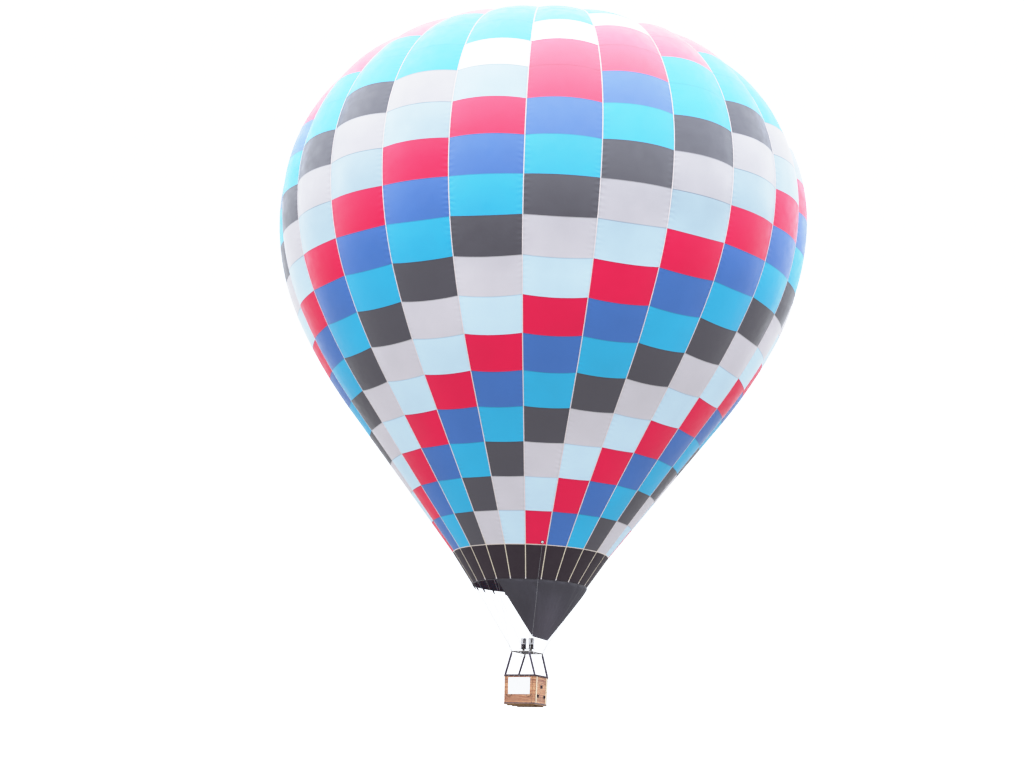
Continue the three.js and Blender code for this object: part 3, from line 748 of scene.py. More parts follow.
def bulgeAt(station):
    rise = station / envelope["bulgeFull"]
    fall = (collarStart - station) / envelope["bulgeFadeAbove"]
    return envelope["bulgeShare"] * goreWidth(station) * max(0.0, min(rise, fall, 1.0))


def sagAt(station):
    known = envelope["seamSag"]
    for (a, low), (b, high) in zip(known, known[1:]):
        if a <= station < b:
            return mix(low, high, (station - a) / (b - a))
    return 0.0


def onEnvelope(degrees, station, lift=0.0):
    # a point of the envelope's outer face, lifted off it
    radius, height, outR, outZ = profileAt(station)
    across = ((degrees - envelope["firstSeam"]) / goreAngle) % 1.0
    out = bulgeAt(station) * 4 * across * (1 - across) + lift
    return polar(degrees, radius + outR * out, height + outZ * out)


def rowSeam(row):
    return cloth["bandLength"] + row * cloth["panel"]


def rowOf(station):
    return math.floor((station - cloth["bandLength"]) / cloth["panel"]) + 1


def clothOf(row, gore):
    if row < 1:
        return "black"
    order = topOrder if row >= topRow else colourOrder
    return order[(row - gore) % len(order)]


def wearPanels(piece, panelOf):
    # every face takes the cloth of its panel: panelOf(face, along) gives its row and gore
    dress(piece, *(cloths[tint] for tint in clothNames))
    uv = piece.data.uv_layers.active.data
    for face in piece.data.polygons:
        along = sum(uv[i].uv.y for i in face.loop_indices) / len(face.loop_indices)
        face.material_index = clothNames.index(clothOf(*panelOf(face, along)))
    return piece


def noteTapes(piece, width):
    # keeps each corner's distance to the nearest load tape, read from how far across its gore it is
    layer = piece.data.attributes.new("fromTape", "FLOAT", "CORNER")
    uv = piece.data.uv_layers.active.data
    layer.data.foreach_set("value", [max(0.0, width(spot.uv.y) / 2 - abs(spot.uv.x)) for spot in uv])


def allGores(name, low, high, rows, rowAt, lift=0.0):
    # one gore between two stations, and its copies round the axis
    def place(across, along):
        degrees = envelope["firstSeam"] + goreAngle * (1 + min(max(across, 1e-6), 1 - 1e-6))
        station = mix(low, high, along)
        return onEnvelope(degrees, station - sagAt(station) * 4 * across * (1 - across), lift)

    def measure(across, along):
        station = mix(low, high, along)
        return (across - 0.5) * goreWidth(station), station

    sheet = layGrid(name, envelope["columns"], rows, place, measure)
    noteTapes(sheet, goreWidth)
    copies = copiesRound(sheet, envelope["gores"])
    return [wearPanels(copy, lambda face, along, k=k: (rowAt(along), k)) for k, copy in enumerate(copies)]


def makeSections():
    low, row = 0.0, 0
    for node, lastRow in sections:
        parts = []
        while low < seamLength - 1e-6 and row <= lastRow:
            high = min(rowSeam(row), seamLength)
            steps = max(1, round(envelope["rowsPerPanel"] * (high - low) / cloth["panel"]))
            parts += allGores("gore", low, high, steps, rowOf)
            low = high
            row += 1
        section = thicken(mergeDoubles(joinPieces(parts, "section")), envelope["clothThickness"])
        slotName = "envelope_cloth" if lastRow else "black_cloth"
        finish(smooth(section, 8), node.replace("envelope_", "sewn_"), None, slotName, node)
    print("envelope sections made")


def makeFelledSeams():
    # a narrow folded ridge along every seam between two rows
    half, proud = envelope["seamWidth"] / 2, envelope["seamProud"]
    ridges = []
    row = 1
    while rowSeam(row) < collarStart:
        ridges += allGores("ridge", rowSeam(row) - half, rowSeam(row) + half, 1, lambda along: row, proud)
        row += 1
    ridge = thicken(mergeDoubles(joinPieces(ridges, "ridge")), proud * 1.5)
    finish(ridge, "felled_row_seams", None, "envelope_cloth")
    print("felled seams made")


tape = {
    "width": 0.030,
    "thickness": 0.003,
    "lift": 0.0035,
    "step": 0.35,
    "start": 0.004,
    "ventReach": 2.958,     # the radius where the straps over the vent take over
    "girthWidth": 0.028,    # the tape round the top of the black band
    "girthLift": 0.0025,
    "girthThickness": 0.002,
}


def beside(station, off):
    # the first seam's angle, moved so many metres round at this station
    return envelope["firstSeam"] + math.degrees(off / profileAt(station)[0])


def makeTapes():
    start, end = tape["start"], collarStart
    while profileAt(end)[0] > tape["ventReach"]:
        end += 0.002

    def onTape(across, along):
        station = mix(start, end, along)
        return onEnvelope(beside(station, (across - 0.5) * tape["width"]), station, tape["lift"])

    strip = layGrid("tape", 2, round(end / tape["step"]), onTape,
                    lambda across, along: ((across - 0.5) * tape["width"], mix(start, end, along)))
    strips = copiesRound(thicken(strip, tape["thickness"]), envelope["gores"])
    smooth(finish(strips, "load_tapes", loadTape, "webbing"))
    around = 2 * math.pi * profileAt(cloth["bandLength"])[0]

    def onGirth(across, along):
        station = cloth["bandLength"] + (along - 0.5) * tape["girthWidth"]
        return onEnvelope(envelope["firstSeam"] + 360 * across, station, tape["girthLift"])

    girth = layGrid("girth", envelope["gores"] * envelope["columns"], 1, onGirth,
                    lambda across, along: ((along - 0.5) * tape["girthWidth"], across * around))
    girth = thicken(mergeDoubles(girth), tape["girthThickness"])
    finish(girth, "girth_tape", creamWebbing, "webbing")
    print("tapes made")


makeSections()
makeFelledSeams()
makeTapes()


# Scoop

scoop = {
    "firstSeam": -7.5,
    "gores": 8,
    "topReach": 2.109,
    "topDrop": 0.0243,      # below the mouth
    "bottomWidth": 0.620,
    "bottomReach": 1.000,
    "bottomHeight": -15.8725,
    "tilt": 0.115,          # its short edge hangs lower at the right
    "billow": 0.11,
    "taut": 0.20,           # share of its width over which the belly dies out at the side edges
    "puff": 0.030,          # between the tapes under the hem
    "crease": 0.035,
    "bow": 0.075,           # of its back edge under the hem
    "thickness": 0.003,
    "columns": 112,
    "rows": 44,
    "measure": 2.4,         # what its UV map takes for its height
}
scoopAngle = scoop["gores"] * goreAngle
scoopMiddle = scoop["firstSeam"] + scoopAngle / 2
scoopTop = scoop["gores"] * goreWidth(0)


def onScoop(across, down, lift=0.0):
    degrees = scoop["firstSeam"] + across * scoopAngle
    top = polar(degrees, scoop["topReach"], mouthHeight - scoop["topDrop"])
    bottom = polar(scoopMiddle, scoop["bottomReach"], scoop["bottomHeight"] + scoop["tilt"] * (0.5 - across))
    bottom += polar(scoopMiddle + 90, (across - 0.5) * scoop["bottomWidth"], 0)
    edge = math.sin(min(1.0, min(across, 1 - across) / scoop["taut"]) * math.pi / 2)
    belly = math.sin(math.pi * down) * edge
    off = lift + scoop["billow"] * belly
    underHem = math.exp(-(down / 0.16) ** 2) * min(1, down / 0.03)
    off += scoop["puff"] * abs(math.sin(math.pi * across * scoop["gores"])) * underHem * edge
    # long soft folds run down to the short edge
    off += 0.045 * noise.noise(Vector((across * 9, down * 1.3, 4.2))) * belly
    off += 0.016 * noise.noise(Vector((across * 26, down * 2.6, 1.7))) * belly
    off += 0.005 * noise.noise(Vector((across * 75, down * 9, 7.1))) * edge * min(1, down / 0.05)
    aside, below = (across - 0.30 - 0.25 * down) / 0.030, (down - 0.12) / 0.12
    off -= scoop["crease"] * math.exp(-aside ** 2 - below ** 2)
    off += scoop["bow"] * math.exp(-((1 - across) / 0.12) ** 2) * math.sin(math.pi * down ** 0.43)
    return top.lerp(bottom, down) + polar(degrees, off, 0)


def makeScoop():
    def widthAt(along):
        return mix(scoop["bottomWidth"], scoopTop, along / scoop["measure"])

    def measure(across, along):
        return (across - 0.5) * widthAt(along * scoop["measure"]), along * scoop["measure"]

    sheet = layGrid("scoop", scoop["columns"], scoop["rows"],
                    lambda across, along: onScoop(across, 1 - along), measure)
    noteTapes(sheet, widthAt)
    smooth(thicken(sheet, scoop["thickness"], 0), 40)
    finish(sheet, "scoop_cloth", scoopCloth, "black_cloth", "scoop")
    height = (onScoop(0.5, 0) - onScoop(0.5, 1)).length
    (scoopTop + scoop["bottomWidth"]) / 2 * height
    print("scoop made")


makeScoop()


# Mouth, crown and the lines inside

mouth = {
    "ringRadius": 2.102,
    "hemHeight": 0.024,
    "hemWidth": 0.026,
    "loopFoot": (2.096, 0.0043),      # radius, and how far below the mouth the loops start
    "loopWidth": 0.045,
    "loopReach": 0.118,
    "loopEnd": 0.012,
    "loopThickness": 0.0035,
    "loopLean": 36.0,
    # how far down the padded cover, and its radius there
    "sheath": [(0.0, 0.0), (0.0, 0.022), (0.018, 0.031), (0.085, 0.034), (0.150, 0.029), (0.184, 0.017),
               (0.187, 0.0)],
    "patchLength": 0.075,
    "patchWidth": 0.036,
}
crown = {
    "radius": 0.170,
    "tube": 0.014,
    "strapWidth": 0.040,
    "strapThickness": 0.0045,
    "strapRise": 0.160,
    "strapFoot": 7.1458,
    "strapStart": 0.2045,
    "strapReach": 2.9505,
    "ventRadius": 2.7,
    "bandInner": 0.1845,
    "bandOuter": 0.2245,
    "wrap": 0.004,
}


def makeMouth():
    middle = (0, 0, mouthHeight - 0.0003 - mouth["hemHeight"] / 2)
    hem = sweep("hem", 144, roundSection(mouth["hemWidth"] / 2, mouth["hemHeight"] / 2, 2.4, 12),
                levelRing(middle, mouth["ringRadius"]))
    dress(hem, darkWebbing)
    out, side = polar(envelope["firstSeam"], 1, 0), polar(envelope["firstSeam"] + 90, 1, 0)
    lean = math.radians(mouth["loopLean"])
    downward = -out * math.sin(lean) - skyward * math.cos(lean)
    normal = out * math.cos(lean) - skyward * math.sin(lean)
    start = out * mouth["loopFoot"][0] + skyward * (mouthHeight - mouth["loopFoot"][1])
    half, reach, end = mouth["loopThickness"], mouth["loopReach"], mouth["loopEnd"]

    def loopPoint(across, along):
        # down the outside, round the ring at the end and up the inside again
        if along < 0.42:
            down, off = reach * along / 0.42, half
        elif along > 0.58:
            down, off = reach * (1 - along) / 0.42, -half
        else:
            turn = math.pi * (along - 0.42) / 0.16
            down, off = reach + end * math.sin(turn), math.cos(turn) * end
            off = math.copysign(max(half, abs(off)), off)
        return start + downward * down + normal * off + side * ((across - 0.5) * mouth["loopWidth"])

    def sheathPoint(across, along):
        # a padded cover over the loop and the end of its wire
        down, radius = mouth["sheath"][round(along * (len(mouth["sheath"]) - 1))]
        return start + downward * down + swung(side, normal * 0.8, across) * max(radius, poleRadius)

    loop = layGrid("loop", 3, 24, loopPoint, laid(mouth["loopWidth"], 0.27))
    sheath = layGrid("sheath", 14, len(mouth["sheath"]) - 1, sheathPoint, laid(0.14, 0.1, 0))
    outward(mergeDoubles(sheath, 0.0004))
    loop = joinPieces([thicken(loop, mouth["loopThickness"], 0), sheath], "loop")
    loops = copiesRound(dress(smooth(loop, 40), darkWebbing), envelope["gores"])
    finish([hem] + loops, "hem_and_tape_loops", None, "black_cloth", "mouth_hem")

    def endPoint(across, along):
        # the pale turned-back end of a load tape
        station = tape["start"] + mouth["patchLength"] * along
        lift = tape["lift"] + tape["thickness"] + 0.0005
        return onEnvelope(beside(station, (across - 0.5) * mouth["patchWidth"]), station, lift)

    patch = thicken(layGrid("patch", 2, 3, endPoint, laid(0.05, mouth["patchLength"])), 0.003, 1)
    patches = copiesRound(patch, envelope["gores"])
    finish(patches, "tape_end_patches", paleWebbing, "webbing")
    print("mouth made")


def strapHeight(radius):
    share = min(radius / crown["ventRadius"], 1.0)
    return crown["strapFoot"] + crown["strapRise"] * (1 - share * share)


def makeCrown():
    def onStrap(across, along):
        radius = mix(crown["strapStart"], crown["strapReach"], along)
        return Vector(((across - 0.5) * crown["strapWidth"], -radius, strapHeight(radius) + 0.001))

    length = crown["strapReach"] - crown["strapStart"]
    strap = layGrid("strap", 2, 24, onStrap, laid(crown["strapWidth"], length))
    straps = copiesRound(thicken(strap, crown["strapThickness"], 1), envelope["gores"], envelope["firstSeam"])
    middle = (crown["bandInner"] + crown["bandOuter"]) / 2
    half = (crown["bandOuter"] - crown["bandInner"]) / 2
    height = strapHeight(0) + 0.003
    band = sweep("band", 96, roundSection(half, 0.0055, 4, 12), levelRing((0, 0, height + 0.0005), middle))
    smooth(finish(straps + [band], "crown_straps", paleWebbing, "webbing", "vent_tapes"))
    ring = sweep("ring", 72, roundSection(crown["tube"], crown["tube"], 2, 14),
                 levelRing((0, 0, height), crown["radius"]))
    finish(ring, "crown_hoop", brightAlloy, "alloy", "crown_ring")
    # loops of webbing that hold the hoop to the band, one over each strap
    reach = crown["tube"] + 0.002
    way, up = polar(0, reach, 0), skyward * (reach * 0.9)
    path = [polar(0, crown["radius"], height) + swung(way, up, k / 12) for k in range(12)]
    wraps = copiesRound(tube("wrap", path, crown["wrap"], 6, True), envelope["gores"], envelope["firstSeam"])
    finish(wraps, "hoop_wraps", darkWebbing, "webbing")
    print("crown made")


parachute = {
    "seat": 7.1354,          # the envelope's inner face round the vent
    "reach": 3.047,
    "measure": 3.050,
    "flatFrom": 2.640,
    "rise": 0.096,
    "puff": 0.012,
    "flute": 0.004,
    "rings": 16,
    "facesPerGore": 4,
    "thickness": 0.003,
    "rows": 2.1,             # length of its panels from the middle
    "topRow": 22,
    "lineRadius": 0.0035,
    "lineStation": 2.35,     # how far below the collar its lines meet the envelope
    "gatherHeight": 4.6,
    "gatherRadius": 0.03,
}
ripLine = {
    "angle": 245.4,          # of the pulley that it runs over, inside the envelope
    "station": 16.2,
    "radius": 0.005,
    "mouthReach": 1.88,
    "foot": (-0.36, 0.54, -16.27),
}
scoopLine = {
    "angle": 34.3,           # of its pulley, on the lowest red panel
    "station": 1.475,
    "radius": 0.0042,
    "end": 0.04,             # across the scoop, where it meets the short edge
}


def makeParachute():
    reach = parachute["reach"]

    def onDisc(across, along):
        radius = reach * along
        share = min(1.0, radius / parachute["flatFrom"])
        inGore = (across * envelope["gores"]) % 1.0
        puff = parachute["puff"] * 4 * inGore * (1 - inGore) * min(1.0, radius / 0.8) * (1 - share ** 6)
        flute = math.cos(across * 4 * math.pi * envelope["gores"]) * max(0.0, along - 0.9) * 10
        height = parachute["seat"] - 0.006 + parachute["rise"] * (1 - share * share) + puff
        height -= parachute["flute"] * abs(flute)
        return polar(envelope["firstSeam"] + 360 * across, radius, height)

    def measure(across, along):
        radius = parachute["measure"] * along
        inGore = (across * envelope["gores"]) % 1.0
        return (inGore - 0.5) * radius * math.radians(goreAngle), radius

    def panelOf(face, along):
        angle = math.degrees(math.atan2(face.center.x, -face.center.y)) - envelope["firstSeam"]
        row = parachute["topRow"] - math.floor(along / parachute["rows"] + 0.3)
        return row, math.floor(angle / goreAngle) - 1

    disc = layGrid("disc", envelope["gores"] * parachute["facesPerGore"], parachute["rings"], onDisc, measure)
    noteTapes(disc, lambda along: along * math.radians(goreAngle))
    wearPanels(disc, panelOf)
    smooth(thicken(mergeDoubles(disc, 0.0005), parachute["thickness"]), 20)
    finish(disc, "parachute_cloth", None, "parachute_cloth", "parachute_vent", body="vent_panel")
    # lines inside: to the seams and to a ring under the middle
    gather = skyward * parachute["gatherHeight"]
    station, lineTop = collarStart - parachute["lineStation"], parachute["seat"] - 0.014
    centring, shrouds = [], []
    for k in range(envelope["gores"]):
        angle = envelope["firstSeam"] + goreAngle * k
        edge = polar(angle, reach - 0.06, lineTop)
        seam = onEnvelope(angle, station, -0.012)
        centring.append(tube("line", [edge.lerp(seam, t / 8) for t in range(9)], parachute["lineRadius"], 6))
        if k % 2 == 0:
            end = gather + polar(angle, parachute["gatherRadius"], 0)
            shrouds.append(tube("line", [edge, end], parachute["lineRadius"], 6))
    centring = finish(centring, "parachute_centring_lines", paleLine, "webbing", body=None)
    low = onEnvelope(envelope["firstSeam"], station).z
    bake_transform(centring)
    ring = sweep("ring", 24, roundSection(0.006, 0.006), levelRing(gather, parachute["gatherRadius"]))
    finish(ring, "gather_ring", brightSteel, "alloy", body="vent_panel")
    finish(shrouds, "parachute_shroud_lines", paleLine, "webbing", body="vent_panel")
    print("parachute made")


def makeRipLine():
    angle, thick = ripLine["angle"], ripLine["radius"]
    out = polar(angle, 1, 0)
    gather = skyward * (parachute["gatherHeight"] - 0.03)
    wheel = onEnvelope(angle, ripLine["station"], -0.10)
    upper = tube("line", [gather.lerp(wheel, t / 24) for t in range(25)], thick, 6)
    finish(upper, "rip_line_upper", paleLine, "webbing", body=None)
    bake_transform(upper)
    lower = [wheel, polar(angle, ripLine["mouthReach"], mouthHeight - 0.05), ripLine["foot"]]
    finish(tube("line", lower, thick, 6), "rip_line_lower", paleLine, "webbing")
    block = sweep("block", 20, roundSection(0.010, 0.012, 3),
                  ringPath(wheel + out * 0.02, out, skyward, 0.028, polar(angle + 90, 1, 0)))
    strap = tube("strap", [wheel + out * 0.03, wheel + out * 0.095], 0.008)
    finish([block, strap], "rip_line_pulley", darkPlastic, "alloy")
    print("rip line made")


def makeScoopLine():
    # the line that trims the scoop: from a pulley on the lowest red panel straight to the scoop's corner
    angle, station, end = scoopLine["angle"], scoopLine["station"], scoopLine["end"]
    start = (angle - scoop["firstSeam"]) / scoopAngle
    points = [onEnvelope(angle, spot, 0.03) for spot in (1.40, 1.2, 0.8, 0.4, 0.08)]
    for k in range(1, 24):
        down = 0.965 * k / 23
        across = (1 - down) * start * scoopTop + down * end * scoop["bottomWidth"]
        points.append(onScoop(across / mix(scoopTop, scoop["bottomWidth"], down), down, 0.022))
    finish(tube("line", points, scoopLine["radius"], 6), "scoop_line", greyLine, "webbing")
    out = (onEnvelope(angle, station, 1) - onEnvelope(angle, station, 0)).normalized()
    side = polar(angle + 90, 1, 0)
    up = side.cross(out)
    wheel = sweep("wheel", 24, roundSection(0.012, 0.012, 3),
                  ringPath(onEnvelope(angle, station, 0.024), side, up, 0.03, out))
    eyelet = sweep("eyelet", 20, roundSection(0.007, 0.007),
                   ringPath(onScoop(end, 0.975, 0.016), side, skyward, 0.028, out))
    finish([wheel, eyelet], "scoop_line_fittings", whitePlastic, "alloy")
    patch = sweep("patch", 24, flatRing(0.06),
                  ringPath(onEnvelope(angle, station, 0.012), side, up, 0.065, out))
    finish(patch, "pulley_patch", darkWebbing, "black_cloth")
    print("scoop line made")


makeMouth()
makeCrown()
makeParachute()
makeRipLine()
makeScoopLine()


# Burner, gimbal and load frame

burner = {
    "pivot": -16.305,
    "spacing": 0.310,
    "plate": (0.540, 0.230, 0.014),
    "plateMiddle": -16.178,
    "boltPlaces": (0.24, 0.095),
    "block": (0.430, 0.086, 0.106),
    "blockMiddle": -16.285,
    # way across, the knob's end, its radius and its bevel
    "valves": [(-0.052, -0.108, 0.017, 0.004), (0.052, -0.102, 0.012, 0.003)],
    "valveLevel": -16.273,
    "coilRadius": 0.0865,
    "coilTube": 0.0122,
    "coilTurns": 5.5,
    "coilSteps": 154,
    "coilFoot": -16.157,
    "coilTop": -16.024,
    "jets": 10,
    "jetRadius": 0.052,
    "canRadius": 0.106,
    "canFoot": -16.0104,
    "canHeight": 0.225,
    "canWall": 0.0025,
    "canColumns": 50,
    "slots": 5,
    # way across, back and up from the block's middle
    "unions": [(-0.045, 0.036, -0.010), (0.045, 0.036, -0.030)],
    "lever": 0.0065,
    "kneeDrop": 0.093,
    "leverEnd": (0.020, -0.170, -0.025),      # out, forward and up from the knee
    "gripRadii": (0.0125, 0.0139),
    "gripRibs": 14,
    "gripFrom": 0.64,        # along the lever, back from its end
}
gimbal = {
    "radius": 0.312,
    "tube": 0.011,
    "boss": 0.016,
    "bossLength": 0.038,
    "pin": 0.008,
    "pinReach": {"burner": 0.324, "gimbal": 0.366},
}
loadFrame = {
    "length": 1.120,
    "width": 0.760,
    "tube": 0.040,
    "corner": 0.060,
    "height": -16.305,
    "linkLean": 26.0,
    "socketDepth": 0.060,
    "socketRadius": 0.034,
    "eyeReach": 0.050,
    "eye": (0.017, 0.005),
    "sleeveRadius": 0.0086,
    "sleeveWall": 0.0074,
    "sleeveLength": 0.205,
}
link = {
    "reach": 0.0596,         # from the frame's corner
    "straight": 0.025,       # half its straight sides
    "halfWidth": 0.025,
    "round": 0.030,
    "wire": 0.0052,
    "gate": 0.009,
    "knurls": 6,
}
corners = {"right_front": (1, -1), "right_back": (1, 1), "left_back": (-1, 1), "left_front": (-1, -1)}


def makeCan(x):
    columns, foot, height = burner["canColumns"], burner["canFoot"], burner["canHeight"]
    radius = burner["canRadius"] - 0.001
    middle = Vector((x, 0, 0))

    def onCan(across, along):
        return middle + polar(360 * across, radius, foot + 0.004 + along * (height - 0.006))

    wall = mergeDoubles(dress(layGrid("can", columns, 16, onCan), canSteel, burntSteel))
    edit(wall, bpy.ops.mesh.select_mode, type="FACE")
    edit(wall, bpy.ops.mesh.select_all, action="DESELECT")
    for face in wall.data.polygons:
        turn = math.degrees(math.atan2(face.center.x - x, -face.center.y)) % 360
        column = int(turn / 360 * columns)
        level = (face.center.z - foot) / height
        face.select = (column - 2) % (columns // burner["slots"]) < 3 and 0.16 < level < 0.80
    bpy.ops.object.mode_set(mode="EDIT")
    bpy.ops.mesh.delete(type="FACE")
    bpy.ops.object.mode_set(mode="OBJECT")
    # burnt dark inside
    smooth(thicken(wall, burner["canWall"], material_offset=1))
    trim = [hoop("bead", (x, 0, foot + level), skyward, radius, 0.004, 48)
            for level in (0.004, height * 0.16, height * 0.82, height - 0.004)]
    trim.append(sweep("flange", 48, flatRing(0.020), levelRing((x, 0, foot + 0.0005), radius - 0.001)))
    return [wall] + [dress(piece, canSteel) for piece in trim]


def makeCoil(x, side):
    foot, top, steps = burner["coilFoot"], burner["coilTop"], burner["coilSteps"]
    middle = Vector((x, 0, 0))
    points = []
    for k in range(steps + 1):
        turn = side * 360 * burner["coilTurns"] * k / steps + 90
        points.append(middle + polar(turn, burner["coilRadius"], mix(foot, top, k / steps)))
    end = points[-1]
    inward = ((0, 0), (0.12, 0.004), (0.28, 0.002), (0.36, -0.012), (0.36, -0.06), (0.36, -0.13))
    outlet = [end.lerp(Vector((x, 0, end.z)), share) + skyward * rise for share, rise in inward]
    pieces = [tube("coil", points, burner["coilTube"], 10), tube("outlet", outlet, 0.008),
              hoop("jetRing", (x, 0, foot + 0.004), skyward, burner["jetRadius"], 0.009, 32)]
    for k in range(burner["jets"]):
        turn = k * 360 / burner["jets"]
        jet = [middle + polar(turn, burner["jetRadius"], foot + up) for up in (0.008, 0.030)]
        pieces.append(barBetween("jet", *jet, 0.0045, 8, 0.001))
    return pieces


def makeLever(x, side):
    top = burner["blockMiddle"] - burner["block"][2] / 2
    knee = Vector((x, 0, top - burner["kneeDrop"]))
    out, forward, up = burner["leverEnd"]
    end = Vector((x + side * out, forward, knee.z + up))
    bend = [knee + Vector(off) for off in ((0, 0, 0.016), (0, -0.005, 0.004), (0, -0.016, -0.002))]
    rod = [tube("rod", [(x, 0, top + 0.004), *bend, end], burner["lever"], 10),
           barBetween("collar", (x, 0, top + 0.002), (x, 0, top - 0.016), 0.013)]
    start = end.lerp(knee, burner["gripFrom"])
    length, count = (end - start).length, 2 * burner["gripRibs"]
    profile = [(burner["gripRadii"][k % 2], length * k / (count - 1)) for k in range(count)]
    grip = lathe("grip", [(0.0, 0.0)] + profile + [(0.0, length)], start, (end - start).normalized(), 16, 50)
    return [dress(joinPieces(rod, "lever"), brushedSteel), dress(grip, redRubber)]


def makeBurner():
    places = [("left", -1, -burner["spacing"] / 2), ("right", 1, burner["spacing"] / 2)]
    for name, side, x in places:
        for pieces, kind, material, slotName, node in (
                (makeCan(x), "flame_can_", None, "steel", "burner_can_"),
                (makeCoil(x, side), "vaporising_coil_", burntSteel, "steel", "burner_coil_"),
                (makeLever(x, side), "blast_lever_", None, "grip", "blast_handle_")):
            finish(pieces, kind + name, material, slotName, node + name, body="burner")
    level, plate, pivot = burner["blockMiddle"], burner["plateMiddle"], burner["pivot"]
    block = [slab("plate", burner["plate"], (0, 0, plate), 0.005),
             slab("body", burner["block"], (0, 0, level), 0.012)]
    fittings, knobs = [], []
    for name, side, x in places:
        block.append(barBetween("stem", (x, 0, level), (x, 0, plate), 0.036, 28, 0.003))
        pinEnd = (side * gimbal["pinReach"]["burner"], 0, pivot)
        block.append(barBetween("pin", (x, 0, pivot), pinEnd, gimbal["pin"]))
        block.append(barBetween("pinCollar", (side * 0.214, 0, pivot), (side * 0.232, 0, pivot), 0.020))
        for across, back, rise in burner["unions"]:
            start = Vector((x + across, back, level + rise))
            fittings.append(barBetween("union", start, start + Vector((0, 0.026, 0)), 0.014, 6))
            fittings.append(barBetween("tail", start, start + Vector((0, 0.046, 0)), 0.010, 16))
        pipe = [(x + 0.03, y, z) for y, z in ((-0.036, level + 0.040), (-0.062, level + 0.044),
                                              (-0.074, level + 0.060), (-0.074, plate + 0.020))]
        fittings.append(tube("pilot", pipe, 0.004))
        # valves at the front, each with its bonnet and knob
        for across, knobEnd, radius, bevel in burner["valves"]:
            for pieces, kind, start, end, wide, sides, edge in (
                    (block, "valve", -0.030, -0.070, 0.019, 24, 0.003),
                    (block, "bonnet", -0.068, -0.086, 0.013, 6, 0.002),
                    (knobs, "knob", -0.084, knobEnd, radius, 12, bevel)):
                ends = [(x + across, y, burner["valveLevel"]) for y in (start, end)]
                pieces.append(barBetween(kind, *ends, wide, sides, edge))
    for x in (-1, 1):
        for y in (-1, 1):
            spot = Vector((x * burner["boltPlaces"][0], y * burner["boltPlaces"][1], plate))
            block.append(barBetween("bolt", spot - skyward * 0.012, spot + skyward * 0.012, 0.009, 6, 0.001))
    finish(block, "valve_block", castAlloy, "valve_block", "burner_block", body="burner")
    finish(fittings, "burner_unions", brass, "valve_block", body="burner")
    finish(knobs, "burner_knobs", darkPlastic, "grip", body="burner")
    print("burner made")


def makeGimbal():
    middle = skyward * burner["pivot"]
    radius, reach = gimbal["radius"], gimbal["bossLength"] / 2
    pieces = [hoop("ring", middle, skyward, radius, gimbal["tube"], 72, 12)]
    for k in range(4):
        out = polar(90 * k, 1, 0)
        pieces.append(barBetween("boss", middle + out * (radius - reach), middle + out * (radius + reach),
                                 gimbal["boss"], 24, 0.002))
    for out in (polar(0, 1, 0), polar(180, 1, 0)):
        pinEnd = middle + out * gimbal["pinReach"]["gimbal"]
        pieces.append(barBetween("pin", middle + out * radius, pinEnd, gimbal["pin"]))
    finish(pieces, "gimbal_hoop", brushedSteel, "steel", "gimbal_ring", body="gimbal")
    print("gimbal made")


def roundAbout(length, width, corner, distance):
    # a point so far round a rounded rectangle from the middle of its front side, and the way out of it there
    x, y, arc = length / 2 - corner, width / 2 - corner, corner * math.pi / 2
    spot, turn = Vector((0, -width / 2, 0)), 0.0
    for k, run in enumerate((x, arc, 2 * y, arc, 2 * x, arc, 2 * y, arc, 2 * x)):
        step = min(distance, run)
        if k % 2 == 0:
            spot += Vector((math.cos(turn), math.sin(turn), 0)) * step
        else:
            end = turn + step / corner
            spot += Vector((math.sin(end) - math.sin(turn), math.cos(turn) - math.cos(end), 0)) * corner
            turn = end
        distance -= step
        if distance <= 0:
            break
    return spot, Vector((math.sin(turn), -math.cos(turn), 0))


def girthOf(length, width, corner):
    return 2 * (length + width) - (8 - 2 * math.pi) * corner


def roundPath(length, width, corner, height):
    girth = girthOf(length, width, corner)

    def path(part):
        spot, out = roundAbout(length, width, corner, part * girth)
        return spot + skyward * height, out, skyward
    return path


def frameCorner(signs):
    # the middle of the frame's tube at a corner, and the way that the wires leave it
    across, along = (loadFrame[side] - loadFrame["tube"] for side in ("width", "length"))
    heading, lean = math.atan2(signs[1], signs[0]), math.radians(loadFrame["linkLean"])
    way = Vector((math.cos(heading) * math.sin(lean), math.sin(heading) * math.sin(lean), math.cos(lean)))
    return Vector((signs[0] * across / 2, signs[1] * along / 2, loadFrame["height"])), way


